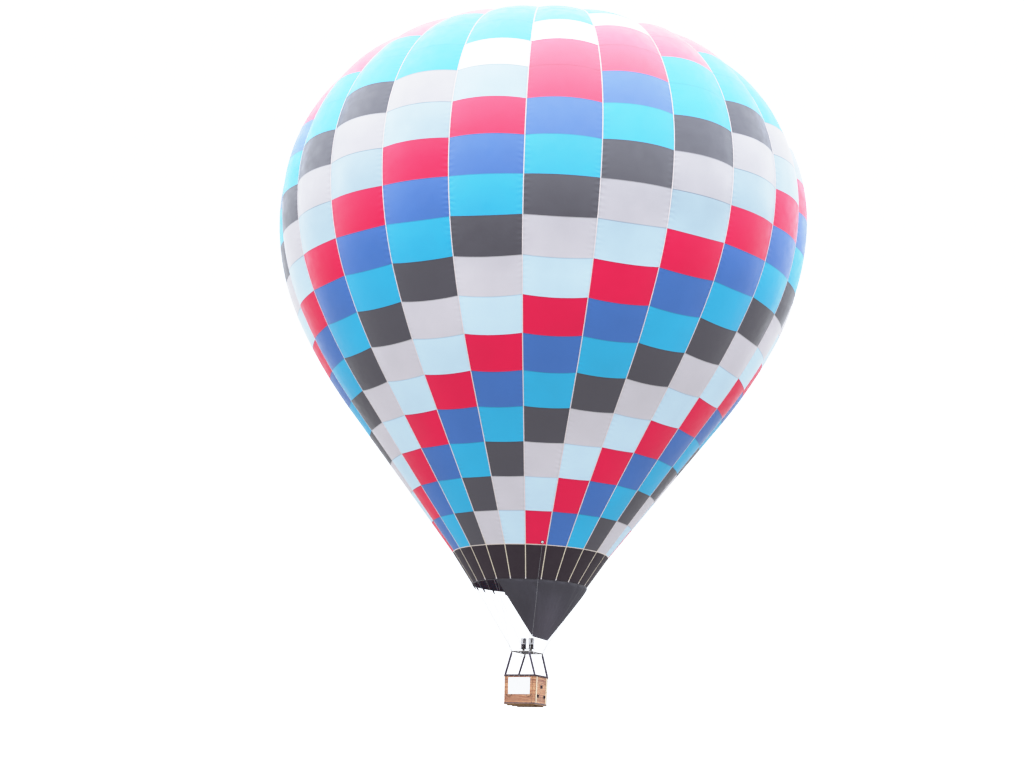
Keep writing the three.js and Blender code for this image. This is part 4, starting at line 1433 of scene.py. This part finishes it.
def makeFrame():
    half, height = loadFrame["tube"] / 2, loadFrame["height"]
    size = (loadFrame["width"] - 2 * half, loadFrame["length"] - 2 * half, loadFrame["corner"] - half)
    pieces = [sweep("tube", 120, roundSection(half, half, 5, 20), roundPath(*size, height))]
    welds = []
    for signs in corners.values():
        corner, way = frameCorner(signs)
        side = Vector((-signs[1], signs[0], 0)).normalized()
        depth, radius = loadFrame["socketDepth"], loadFrame["socketRadius"]
        pieces.append(barBetween("socket", corner - skyward * depth, corner, radius, 28, 0.003))
        lip = corner - skyward * (depth - 0.003)
        pieces.append(hoop("socketLip", lip, skyward, radius - 0.001, 0.003, 28))
        pieces.append(hoop("eye", corner + way * loadFrame["eyeReach"], side, *loadFrame["eye"]))
        pieces.append(slab("eyeNeck", (0.008, 0.040, 0.034), corner + way * 0.026, 0.002,
                           way.to_track_quat("Z", "X").to_euler()))
        welds.append(hoop("weld", corner + way * 0.020, way, 0.018, 0.003, 20, 6))
    for side in (-1, 1):
        # a sleeve round the ring's pin
        inner = Vector((0, side * (gimbal["radius"] + gimbal["bossLength"] / 2 + 0.005), height))
        radius, wall = loadFrame["sleeveRadius"], loadFrame["sleeveWall"]
        length = loadFrame["sleeveLength"] * side
        pieces.append(sweep("sleeve", 24, [(0.0, 0.0), (wall, 0.0), (wall, length), (0.0, length)],
                            ringPath(inner, skyward, polar(90, 1, 0), radius, polar(180, 1, 0))))
        pieces.append(hoop("sleeveWeld", (0, side * 0.519, height), (0, 1, 0), 0.016, 0.004, 24, 6))
    finish(pieces + welds, "load_frame", brushedSteel, "steel", "burner_load_frame")
    print("load frame made")


def makeSuspension():
    for name, signs in corners.items():
        corner, way = frameCorner(signs)
        side = Vector((-signs[1], signs[0], 0)).normalized()
        spine = way.cross(side) * link["halfWidth"]
        low = corner + way * link["reach"]
        loop = []
        for k in range(40):
            rise = math.sin(2 * math.pi * k / 40)
            along = 0.050 + link["round"] * rise + math.copysign(link["straight"], rise)
            loop.append(low + way * along + spine * math.cos(2 * math.pi * k / 40))
        gate = [low + way * 0.030 + spine, low + way * 0.078 + spine]
        pieces = [tube("link", loop, link["wire"], 10, True),
                  barBetween("gate", *gate, link["gate"], 18, 0.001)]
        for k in range(link["knurls"]):
            middle = low + way * (0.036 + 0.007 * k) + spine
            pieces.append(hoop("knurl", middle, way, link["gate"], 0.0009, 18, 6))
        finish(pieces, "screw_link_" + name, brightSteel, "steel", "karabiner_" + name)
        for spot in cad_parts["flying_wires_" + name].material_slots:
            spot.material = wireRope
    print("karabiners made")


makeBurner()
makeGimbal()
makeFrame()
makeSuspension()


# Basket

basket = {
    "length": 1.270,
    "width": 1.130,
    "wall": 0.028,
    "corner": 0.072,
    "top": -17.205,
    "bottom": -18.186,
    "taper": 0.975,
    "stakes": 116,
    "rowHeight": 0.0125,
    "rimRoll": 0.072,
    "rimProud": 0.017,
    "rimFoot": -17.2047,
    "laceStep": 0.060,
    "footHoles": [(-0.27, 0.290), (0.27, 0.290), (0.0, 0.640)],       # along the side, above the bottom
    "footHole": (0.150, 0.100),
    "footHoleRound": 0.022,
    "linerRound": 0.024,
    "handleReach": 0.40,    # from the middle of a long side
    "handleHeight": 0.315,
    "runners": (-0.4, 0.0, 0.4),
    "runnerSize": (1.08, 0.07, 0.043),
    "runnerMiddle": -18.2231,
    "bolts": (-0.45, -0.15, 0.15, 0.45),
}
weave = {
    "face": 0.0038,         # the weavers' middle under the wall's face
    "ridge": 0.0031,        # how far they swing past a stake
    "groove": -0.0036,
    "edge": -0.002,
    "stake": -0.0002,
    "uneven": 0.0005,
    "sway": 0.0008,
}
basketHeight = basket["top"] - basket["bottom"]
basketGirth = girthOf(basket["length"], basket["width"], basket["corner"])


def onWall(distance, above, off=0.0):
    # a point of the wall's outer face, moved out of it
    share = mix(basket["taper"], 1.0, above / basketHeight)
    spot, out = roundAbout(basket["length"], basket["width"], basket["corner"], distance % basketGirth)
    return Vector((spot.x * share, spot.y * share, basket["bottom"] + above)) + out * off


def makeWeave(name, inner, perStake):
    # willow weavers before one stake and behind the next, as a closed shell with a plain back in mid wall
    steps = 2 * round(basketHeight / basket["rowHeight"])
    back = {-2: basketHeight / 2, -1: 0.0, steps + 1: basketHeight, steps + 2: basketHeight / 2}
    base, away = (weave["face"] - basket["wall"], -1) if inner else (-weave["face"], 1)

    def place(across, along):
        level = round(along * (steps + 4)) - 2
        distance = (across % 1.0) * basketGirth
        if level in back:
            return onWall(distance, back[level], -basket["wall"] / 2)
        row, turn = level // 2, across * basket["stakes"]
        phase = math.cos(math.pi * (turn + row))
        above = basketHeight * level / steps
        if level in (0, steps):
            return onWall(distance, above, base + away * weave["edge"])
        depth = weave["groove"]
        if level % 2:
            uneven = math.sin(7.3 * row + 2.1 * math.floor(across * 9))
            depth = weave["ridge"] * phase + weave["uneven"] * uneven
            if phase < 0 and abs(turn - round(turn)) < 0.01:
                depth = weave["stake"]
        above += weave["sway"] * math.sin(across * 2 * math.pi * 5 + row * 0.9)
        return onWall(distance, above, base + away * depth)

    def measure(across, along):
        level = round(along * (steps + 4)) - 2
        return across * basketGirth, basketHeight * min(max(level, 0), steps) / steps

    shell = layGrid(name, basket["stakes"] * perStake, steps + 4, place, measure)
    if inner:
        shell.data.flip_normals()
    return mergeDoubles(shell, 0.00005)


def holePlaces():
    # each foot hole's side, its middle on the wall's face and the wall's taper there
    for side in (-1, 1):
        for along, above in basket["footHoles"]:
            share = mix(basket["taper"], 1.0, above / basketHeight)
            yield side, Vector((side * share * basket["length"] / 2, along, basket["bottom"] + above)), share


def cutHoles(piece):
    for side, middle, share in holePlaces():
        middle.x -= side * share * basket["wall"] / 2
        cutter = slab("cutter", (0.10, *basket["footHole"]), middle, basket["footHoleRound"])
        shape(piece, "BOOLEAN", object=cutter, operation="DIFFERENCE", solver="MANIFOLD")
        bpy.data.objects.remove(cutter)
    return piece


def rampOf(tree, value, stops, interpolation="LINEAR"):
    # colours at their places from 0 to 1
    made = addNode(tree, "ValToRGB", {0: value})
    made.color_ramp.interpolation = interpolation
    for position, colour in stops[1:-1]:
        made.color_ramp.elements.new(position).color = colour
    made.color_ramp.elements[0].color = stops[0][1]
    made.color_ramp.elements[-1].color = stops[-1][1]
    return made.outputs[0]


def wickerMaterial():
    material, tree, shader = newMaterial("wovenWillow", colourOf(226, 160, 100), 0.5, Sheen_Weight=0.05)
    around, above = surfacePlace(tree)
    inRow, inStakes = above / basket["rowHeight"], around / (basketGirth / basket["stakes"])
    row = inRow.math("FLOOR")
    # a strand is one colour for about 0.4 m of its row
    strand = ((around + row * 0.137) / 0.41).math("FLOOR")
    pair = addNode(tree, "CombineXYZ", {0: row, 1: strand}).outputs[0]
    tone = addNode(tree, "TexWhiteNoise", {"Vector": pair}, noise_dimensions="2D").outputs["Value"]
    shade = rampOf(tree, tone, [(0.0, colourOf(172, 102, 66)), (1.0, colourOf(232, 176, 128))])
    # bands of darker willow at set heights
    stops = [(0.0, 0.0), (0.09, 0.55), (0.29, 0.0), (0.325, 0.9), (0.35, 0.05), (0.76, 0.75), (0.80, 0.2),
             (0.84, 0.8), (0.90, 0.1), (0.97, 0.7), (1.0, 0.6)]
    stops = [(spot, (grey, grey, grey, 1)) for spot, grey in stops]
    bands = rampOf(tree, above / basketHeight, stops, "CONSTANT")
    wear = speckle(tree, objectPlace(tree), 3.0, 4.0).spread(0.35, 0.65)
    # stakes show between the weavers, and the grooves between rows get painted shade
    odd = ((row + inStakes.math("ROUND")) * 0.5).math("FRACT")
    stake = (inStakes + 0.5).offMiddle().math("LESS_THAN", 0.16) * odd.math("GREATER_THAN", 0.25)
    # painted shade in the grooves between rows
    groove = inRow.offMiddle().spread(0.30, 0.5)
    grainPlace = addNode(tree, "CombineXYZ", {0: around * 24.0, 1: above * 420.0}).outputs[0]
    grain = speckle(tree, grainPlace, 1.0, 4.0)
    layers = [(Value(bands) * (wear * 0.5 + 0.5), (118, 60, 50)), (stake * 0.55, (176, 112, 66)),
              (groove * 0.6, (74, 40, 26)), (grain.spread(0.45, 0.75, (0.0, 0.35)), (120, 66, 38))]
    for share, tint in layers:
        shade = blendColours(tree, share, shade, colourOf(*tint))
    connect(shader, "Base Color", shade)
    connect(shader, "Roughness", grain.spread(0.3, 0.7, (0.4, 0.62)))
    bumpOf(tree, shader, grain, 0.35, 0.001)
    return material


def woodMaterial(name, light, dark):
    # grain along X
    material, tree, shader = newMaterial(name, light, 0.6)
    place = objectPlace(tree, (2.0, 38.0, 38.0))
    rings = addNode(tree, "TexWave", {"Vector": place, "Scale": 0.35, "Distortion": 5.0, "Detail": 3.0},
                    bands_direction="Z").outputs["Fac"]
    grain = Value(rings) * 0.5 + speckle(tree, place, 3.0, 4.0) * 0.5
    worn = speckle(tree, objectPlace(tree), 6.0, 4.0).spread(0.5, 0.75, (0.0, 0.6))
    shade = blendColours(tree, grain, light, dark)
    connect(shader, "Base Color", blendColours(tree, worn, shade, shaded(dark, 0.45)))
    bumpOf(tree, shader, grain, 0.25, 0.001)
    return material


willow = wickerMaterial()
rimLeather = plainMaterial("darkRimLeather", colourOf(60, 36, 42), 0.48, 150, 0.0015, 0.5, 0.3)
rawhide = plainMaterial("paleRawhide", colourOf(238, 206, 170), 0.5, 60, 0.0015, 0.4, 0.14)
darkCord = plainMaterial("darkLeatherCord", colourOf(46, 26, 30), 0.6, 200, 0.0015, 0.5, 0.2)
manila = plainMaterial("twistedRope", colourOf(206, 170, 120), 0.85, 260, 0.003, 0.7, 0.2)
sleeveCloth = plainMaterial("quiltedSleeveNylon", colourOf(48, 34, 54), 0.62, 420, 0.0008, 0.35, 0.14,
                            Sheen_Weight=0.3)
jacketCloth = plainMaterial("cylinderJacketNylon", colourOf(52, 60, 84), 0.62, 420, 0.0008, 0.35, 0.16,
                            Sheen_Weight=0.3)
bannerCloth = plainMaterial("blankBannerCloth", colourOf(246, 247, 250), 0.75, 500, 0.0006, 0.25, 0.025)
plywood = woodMaterial("varnishedPlywood", colourOf(186, 140, 92), colourOf(136, 92, 54))
ash = woodMaterial("ashRunner", colourOf(176, 136, 92), colourOf(110, 76, 46))


def makeBasketWall():
    for name, inner, perStake, nodes in (("willow_weave_outside", False, 4, ["basket_wall"]),
                                         ("willow_weave_inside", True, 2, [])):
        shell = smooth(cutHoles(makeWeave("weave", inner, perStake)), 75)
        finish(shell, name, willow, "wicker", *nodes)
    # leather round the foot holes, through the wall
    size = (*basket["footHole"], basket["linerRound"])
    section = [(0.014, -0.004), (0.002, -0.0055), (-0.004, 0.001), (-0.004, 0.027), (0.002, 0.0335),
               (0.014, 0.032), (0.012, 0.029), (0.0005, 0.0285), (0.0005, -0.0005), (0.012, -0.001)]
    liners, cords = [], []
    for side, middle, _ in holePlaces():
        def path(part, side=side, middle=middle):
            spot, out = roundAbout(*size, part * girthOf(*size))
            return middle + Vector((0, spot.x, spot.y)), Vector((0, out.x, out.y)), Vector((-side, 0, 0))
        liners.append(sweep("liner", 48, section, path))
        for k in range(26):
            spot, out, deep = path(k / 26 + 0.01)
            points = [spot + out * a - deep * b for a, b in ((0.013, 0.002), (0.010, 0.006), (0.001, 0.007))]
            cords.append(tube("stitch", points, 0.0018, 6))
    finish(liners, "foot_hole_leathers", rimLeather, "leather")
    finish(cords, "foot_hole_stitches", rawhide, "leather")
    print("basket wall woven")


def makeRim():
    half = basket["rimRoll"] / 2
    more = basket["rimProud"] - half
    size = (basket["length"] + 2 * more, basket["width"] + 2 * more, basket["corner"] + more)
    path, girth = roundPath(*size, basket["rimFoot"] + half), girthOf(*size)
    laces = round(girth / basket["laceStep"])
    roll = sweep("roll", 4 * laces, roundSection(half, half, 3.4, 24), path)
    finish(roll, "rim_roll", rimLeather, "leather", "basket_rim")
    seams = []
    for k in range(laces):
        part = (k + 0.5) / laces
        spot, out, up = path(part)
        ahead = path((part + 0.012 / girth) % 1.0)[0] - spot
        # out, up and ahead of the roll's middle
        seam = [spot + (out * a + up * b) * half + ahead * c for a, b, c in
                ((0.55, -0.98, -1), (0.98, -0.72, -0.5), (1.035, -0.2, 0), (1.02, 0.25, 0.4))]
        seams.append(tube("lace", seam, 0.0022, 6))
        down = onWall(part * basketGirth, basketHeight - 0.035, 0.001)
        lace = [spot + (out * 0.62 - up * 0.99) * half, down + up * 0.012 + out * 0.001, down,
                down - (out + up) * 0.004]
        seams.append(tube("lace", lace, 0.0024, 6))
    finish(seams, "rim_laces", darkCord, "leather")

    def weltPath(part):
        spot, out, up = path(part)
        return spot + (out + up * 0.30) * half, out, up

    welt = sweep("welt", 240, roundSection(0.0022, 0.003, 2, 6), weltPath)
    finish(welt, "rim_welt", darkCord, "leather")
    print("rim made")


def makeWallTrim():
    # scuff leather round the foot of the tub, rawhide strips near the corners, laced along their edges
    def footPath(part):
        distance = part * basketGirth
        out = roundAbout(basket["length"], basket["width"], basket["corner"], distance)[1]
        return onWall(distance, 0.024), out, skyward

    section = [(-0.002, -0.0225), (0.0035, -0.021), (0.0035, 0.019), (0.0018, 0.0225), (-0.002, 0.0225)]
    finish(sweep("scuff", 240, section, footPath), "scuff_leather", rimLeather, "leather")
    strips, cords = [], []
    low, high, steps = 0.046, basketHeight - 0.001, 80
    for half in (0, basketGirth / 2):
        quarter = half + basketGirth / 4
        # how far round, half a strip's width; a lacing alone has none
        for distance, halfWide in ((quarter - 0.405, 0.052), (quarter + 0.405, 0.052), (half - 0.540, 0.0),
                                   (half + 0.540, 0.0)):
            def onStrip(across, along, distance=distance, halfWide=halfWide):
                lump = 0.0006 * math.sin(along * 61 + across * 3)
                return onWall(distance + (across - 0.5) * 2 * halfWide, mix(low, high, along), 0.0016 + lump)
            if halfWide:
                strips.append(smooth(thicken(layGrid("strip", 6, 48, onStrip), 0.0024, 0), 40))
            for edge in (-1, 1) if halfWide else (0,):
                sway, points = 0.0065 if halfWide else 0.011, []
                for k in range(steps + 1):
                    around = distance + edge * halfWide + (sway if k % 2 else -sway)
                    points.append(onWall(around, mix(low, high - 0.008, k / steps), 0.0045))
                cords.append(tube("lacing", points, 0.0026, 6))
    finish(strips, "rawhide_strips", rawhide, "leather")
    finish(cords, "strip_lacing", darkCord, "leather")
    # rope handles low on the long sides: along, up and out
    handles = []
    shapeOf = ((-0.10, 0.006, -0.012), (-0.10, 0.004, 0.008), (-0.085, -0.02, 0.020), (-0.05, -0.045, 0.026),
               (0, -0.055, 0.028), (0.05, -0.045, 0.026), (0.085, -0.02, 0.020), (0.10, 0.004, 0.008),
               (0.10, 0.006, -0.012))
    reach, height = basket["handleReach"], basket["handleHeight"]
    for distance in (-reach, reach, basketGirth / 2 - reach, basketGirth / 2 + reach):
        spots = [onWall(distance + dx, height + dz, off) for dx, dz, off in shapeOf]
        handles.append(tube("handle", eased(spots), 0.0075, 10))
        for dx in (-0.10, 0.10):
            out = onWall(distance + dx, height, 1.0) - onWall(distance + dx, height, 0.0)
            handles.append(hoop("grommet", onWall(distance + dx, height, 0.002), out, 0.012, 0.003, 20))
    finish(handles, "rope_handles", darkCord, "leather")
    print("wall trim made")


banner = {
    "length": 0.880,
    "height": 0.600,
    "low": basketHeight - 0.640,
    "thickness": 0.0016,
    "sag": 0.004,
    "ripple": 0.0022,
    "eyelets": (0.03, 0.265, 0.5, 0.735, 0.97),       # across it, in the upper hem and in the lower one
}


def makeBanner():
    length, height, low = banner["length"], banner["height"], banner["low"]

    def onBanner(across, along, off=0.0):
        sag = banner["sag"] * math.sin(math.pi * across) * along * (1 - along) * 4
        ripple = banner["ripple"] * math.sin(across * 23 + along * 3)
        ripple *= 0.25 + 0.75 * math.sin(math.pi * along)
        spot = onWall((across - 0.5) * length, low + along * height - sag * 0.5, 0.0042 + max(-0.002, ripple))
        return spot - Vector((0, off, 0))

    sheet = thicken(layGrid("banner", 60, 40, onBanner, laid(length, height, 0)), banner["thickness"], 0)
    smooth(sheet, 40)
    finish(sheet, "blank_banner", bannerCloth, "banner", "banner_blank")
    lines = [[onBanner(k / 30, level, 0.0018) for k in range(31)] for level in (0.012, 0.988)]
    lines += [[onBanner(edge, k / 20, 0.0018) for k in range(21)] for edge in (0.009, 0.991)]
    hems = [tube("hem", line, 0.0011, 4) for line in lines]
    finish(hems, "banner_stitching", bannerCloth, "banner")
    rings, ties = [], []
    for across in banner["eyelets"]:
        for along in (0.955, 0.045):
            spot = onBanner(across, along, 0.0016)
            rings.append(hoop("grommet", spot, (0, 1, 0), 0.0075, 0.0022, 16, 6))
            if along > 0.5:
                rimFront = -basket["width"] / 2 - basket["rimProud"]
                top = Vector((spot.x, rimFront - 0.003, basket["top"] + 0.020))
                tie = [spot, spot + Vector((0, -0.005, 0.012)), top, top + Vector((0, 0.006, 0.032)),
                       top + Vector((0, 0.040, 0.056))]
            else:
                end = onWall((across - 0.5) * length, low + along * height - 0.030)
                tie = [spot, spot.lerp(end, 0.5) + Vector((0, -0.004, 0)), end + Vector((0, 0.004, 0))]
            ties.append(tube("tie", tie, 0.0024, 6))
    finish(rings, "banner_grommets", brass, "banner")
    finish(ties, "banner_ties", paleLine, "banner")
    print("banner made")


upright = {
    "inset": 0.044,
    "gap": 0.0006,
    "headDrop": 0.0606,
    "radius": 0.0375,
    "puff": 0.0052,
    "puffs": 6,
    "quilt": 0.0018,
    "rows": 54,
    "sides": 28,
    "strap": (0.0022, 0.011),     # half its thickness, half its width
    "strapRadius": 0.0395,
    "buckle": (0.022, 0.008, 0.026),
    "buckleRadius": 0.043,
    "zip": 0.0028,
    "zipRadius": 0.0425,
}


def makeUprights():
    rows = upright["rows"]
    across, along = (basket[side] / 2 - upright["inset"] for side in ("length", "width"))
    rimTop = basket["rimFoot"] + basket["rimRoll"]
    for name, (x, y) in corners.items():
        foot = Vector((x * across, y * along, rimTop + upright["gap"]))
        head = frameCorner((x, y))[0] - skyward * upright["headDrop"]

        def onSleeve(across, along, foot=foot, head=head):
            k = round(along * rows)
            share = min(max(k - 1, 0), rows - 2) / (rows - 2)
            swell = abs(math.sin(math.pi * upright["puffs"] * share)) ** 0.5
            radius = upright["radius"] + upright["puff"] * swell
            radius -= upright["quilt"] * abs(math.cos(math.pi * 4 * across)) ** 12
            radius += 0.0008 * math.sin(across * 2 * math.pi * 9 + share * 50)
            edge = min(share, 1 - share)
            if edge < 0.03:
                radius *= 0.80 + 0.20 * (edge / 0.03) ** 0.5
            return foot.lerp(head, share) + polar(360 * across, poleRadius if k in (0, rows) else radius, 0)

        sleeve = layGrid("sleeve", upright["sides"], rows, onSleeve, laid(0.27, 0.8, 0))
        smooth(outward(mergeDoubles(sleeve, 0.0003)), 60)
        finish(sleeve, "padded_sleeve_" + name, sleeveCloth, "padding", "upright_" + name)
        inward = math.degrees(math.atan2(-x, y))
        ties = []
        for k in range(1, upright["puffs"]):
            middle = foot.lerp(head, k / upright["puffs"])
            ties.append(sweep("tie", 28, roundSection(*upright["strap"], 4),
                              levelRing(middle, upright["strapRadius"])))
            buckleAt = middle + polar(inward, upright["buckleRadius"], 0)
            ties.append(slab("buckle", upright["buckle"], buckleAt, 0.002, (0, 0, math.radians(inward))))
        off = polar(inward, upright["zipRadius"], 0)
        fastener = [foot.lerp(head, 0.02 + 0.96 * k / 40) + off for k in range(41)]
        ties.append(tube("zip", fastener, upright["zip"], 6))
        finish(ties, "sleeve_ties_" + name, darkWebbing, "padding")
    print("uprights made")


cylinder = {
    "radius": 0.1455,
    "reach": 0.188,          # from the wall's outer face to its middle
    "foot": -18.1857,
    "low": 0.012,
    "jacket": 0.700,
    "sides": 60,
    "rows": 30,
    "channels": 10,
    "shoulder": 0.62,
    "straps": (0.19, 0.47),       # how far up they are
    "strap": (0.0022, 0.020),     # half its thickness, half its width
    "strapEnds": (-0.030, 0.030),
    "buckle": (0.010, 0.052, 0.046),
    "dome": [(0.0, 0.700), (0.078, 0.700), (0.079, 0.722), (0.070, 0.731), (0.045, 0.738), (0.0, 0.740)],
    "collar": [(0.0775, 0.715), (0.0800, 0.715), (0.0800, 0.783), (0.0815, 0.788), (0.0790, 0.790),
               (0.0765, 0.788), (0.0775, 0.783), (0.0775, 0.715)],
    "valve": 0.762,
    "valveSize": (0.026, 0.030, 0.024),
    "wheel": 0.782,
    "wheelRadius": 0.022,
    "wheelTube": 0.0045,
}


def makeJacket(middle):
    rows, low, shoulder = cylinder["rows"], cylinder["low"], cylinder["shoulder"]

    def onJacket(across, along):
        # quilted in upright channels, drawn in at the top and the foot
        k = round(along * rows)
        if k == 0:
            return middle + polar(360 * across, poleRadius, low)
        if k == rows:
            return middle + polar(360 * across, 0.066, 0.722)
        height = low + (k - 1) / (rows - 2) * cylinder["jacket"]
        quilt = abs(math.sin(math.pi * cylinder["channels"] * across)) ** 0.4
        swell = cylinder["radius"] - 0.008 + 0.0075 * quilt
        if height < 0.04:
            swell -= 0.020 * (1 - (height - low) / 0.028) ** 2
        if height > shoulder:
            swell = mix(swell, 0.082, min(1.0, (height - shoulder) / 0.10) ** 1.8)
        return middle + polar(360 * across, swell, height)

    jacket = mergeDoubles(layGrid("jacket", cylinder["sides"], rows, onJacket, laid(0.92, 0.75, 0)), 0.0003)
    bpy.ops.object.mode_set(mode="EDIT")
    bpy.ops.mesh.select_all(action="DESELECT")
    bpy.ops.mesh.select_mode(type="EDGE")
    bpy.ops.mesh.select_non_manifold(extend=False, use_boundary=True)
    bpy.ops.mesh.fill()
    bpy.ops.object.mode_set(mode="OBJECT")
    return smooth(outward(jacket), 60)


def makeCylinders():
    radius = cylinder["radius"]
    x0, y0 = (basket[side] / 2 * basket["taper"] - cylinder["reach"] for side in ("length", "width"))
    for name, (x, y) in corners.items():
        middle = Vector((x * x0, y * y0, cylinder["foot"]))
        valveAt, wheelAt = middle + skyward * cylinder["valve"], middle + skyward * cylinder["wheel"]
        jacket = makeJacket(middle)
        finish(jacket, "padded_jacket_" + name, jacketCloth, "cylinder", "fuel_cylinder_" + name)
        shell = [lathe("dome", cylinder["dome"], middle), lathe("collar", cylinder["collar"], middle),
                 barBetween("neck", middle + skyward * 0.735, middle + skyward * 0.752, 0.024, 24, 0.002)]
        finish(shell, "cylinder_top_" + name, brightAlloy, "cylinder")
        outlet, relief = Vector((0, -y, 0)), middle - Vector((0.030, 0, 0))
        valve = [slab("valve", cylinder["valveSize"], valveAt),
                 barBetween("outlet", valveAt, valveAt + outlet * 0.044, 0.010, 16),
                 barBetween("outletNut", valveAt + outlet * 0.030, valveAt + outlet * 0.048, 0.014, 6),
                 barBetween("relief", relief + skyward * 0.738, relief + skyward * 0.764, 0.008, 12)]
        finish(valve, "cylinder_valve_" + name, brass, "cylinder")
        wheel = [hoop("wheel", wheelAt, skyward, cylinder["wheelRadius"], cylinder["wheelTube"]),
                 barBetween("hub", middle + skyward * 0.770, middle + skyward * 0.785, 0.007, 12)]
        for turn in (0, 60, 120):
            spoke = polar(turn, 0.021, 0)
            wheel.append(barBetween("spoke", wheelAt + spoke, wheelAt - spoke, 0.0028, 8, 0))
        finish(wheel, "cylinder_handwheel_" + name, redRubber, "cylinder")
        straps, buckles = [], []
        for height in cylinder["straps"]:
            level = middle + skyward * height
            straps.append(sweep("strap", 60, roundSection(*cylinder["strap"], 5),
                                levelRing(level, radius - 0.0005)))
            # its ends go through the wall beside it
            wallX = x * (basket["length"] / 2 * 0.985 - basket["wall"] + 0.004)
            for along in cylinder["strapEnds"]:
                start = level + Vector((x * (radius - 0.004), along, 0))
                inside = Vector((wallX, start.y, level.z))
                size = (abs(inside.x - start.x) + 0.004, 0.004, 0.038)
                straps.append(slab("strapEnd", size, (inside + start) / 2, 0.001))
            buckleAt = level - Vector((x * (radius + 0.001), 0, 0))
            buckles.append(slab("buckle", cylinder["buckle"], buckleAt, 0.003))
        finish(straps + buckles, "cylinder_straps_" + name, darkWebbing, "webbing")
    print("fuel cylinders made")


def makeFloor():
    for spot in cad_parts["basket_floor"].material_slots:
        spot.material = plywood
    bolts = []
    for k, y in enumerate(basket["runners"]):
        runner = slab("runner", basket["runnerSize"], (0, y, basket["runnerMiddle"]), 0.005)
        # its ends are cut slanting at the foot
        for corner in runner.data.vertices:
            if abs(corner.co.x) > 0.5 and corner.co.z < -18.225:
                corner.co.x -= math.copysign(0.026, corner.co.x)
        finish(runner, f"wooden_runner_{k + 1}", ash, "runner", f"skid_{k + 1}")
    for x, y in ((x, y) for y in basket["runners"] for x in basket["bolts"]):
        bolts.append(barBetween("bolt", (x, y, -18.2440), (x, y, -18.2435), 0.011, 16, 0.0002))
        bolts.append(barBetween("washer", (x, y, -18.1863), (x, y, -18.1830), 0.014, 16, 0.0008))
    finish(bolts, "floor_bolts", brushedSteel, "runner")
    # rope grips inside, one on each long wall: along, up and into the basket
    shapeOf = ((0.0, 0.0, -0.010), (0.0, -0.002, 0.008), (0.02, -0.03, 0.022), (0.07, -0.055, 0.030),
               (0.12, -0.062, 0.032), (0.17, -0.055, 0.030), (0.22, -0.03, 0.022), (0.24, -0.002, 0.008),
               (0.24, 0.0, -0.010))
    height, face = basketHeight - 0.20, -basket["wall"]
    grips = []
    for distance in (-0.12, basketGirth / 2 - 0.12):
        spots = [onWall(distance + dx, height + dz, face - off) for dx, dz, off in shapeOf]
        grips.append(tube("grip", eased(spots), 0.010, 10))
    finish(grips, "inside_rope_grips", manila, "leather")
    print("floor made")


makeBasketWall()
makeRim()
makeWallTrim()
makeBanner()
makeUprights()
makeCylinders()
makeFloor()
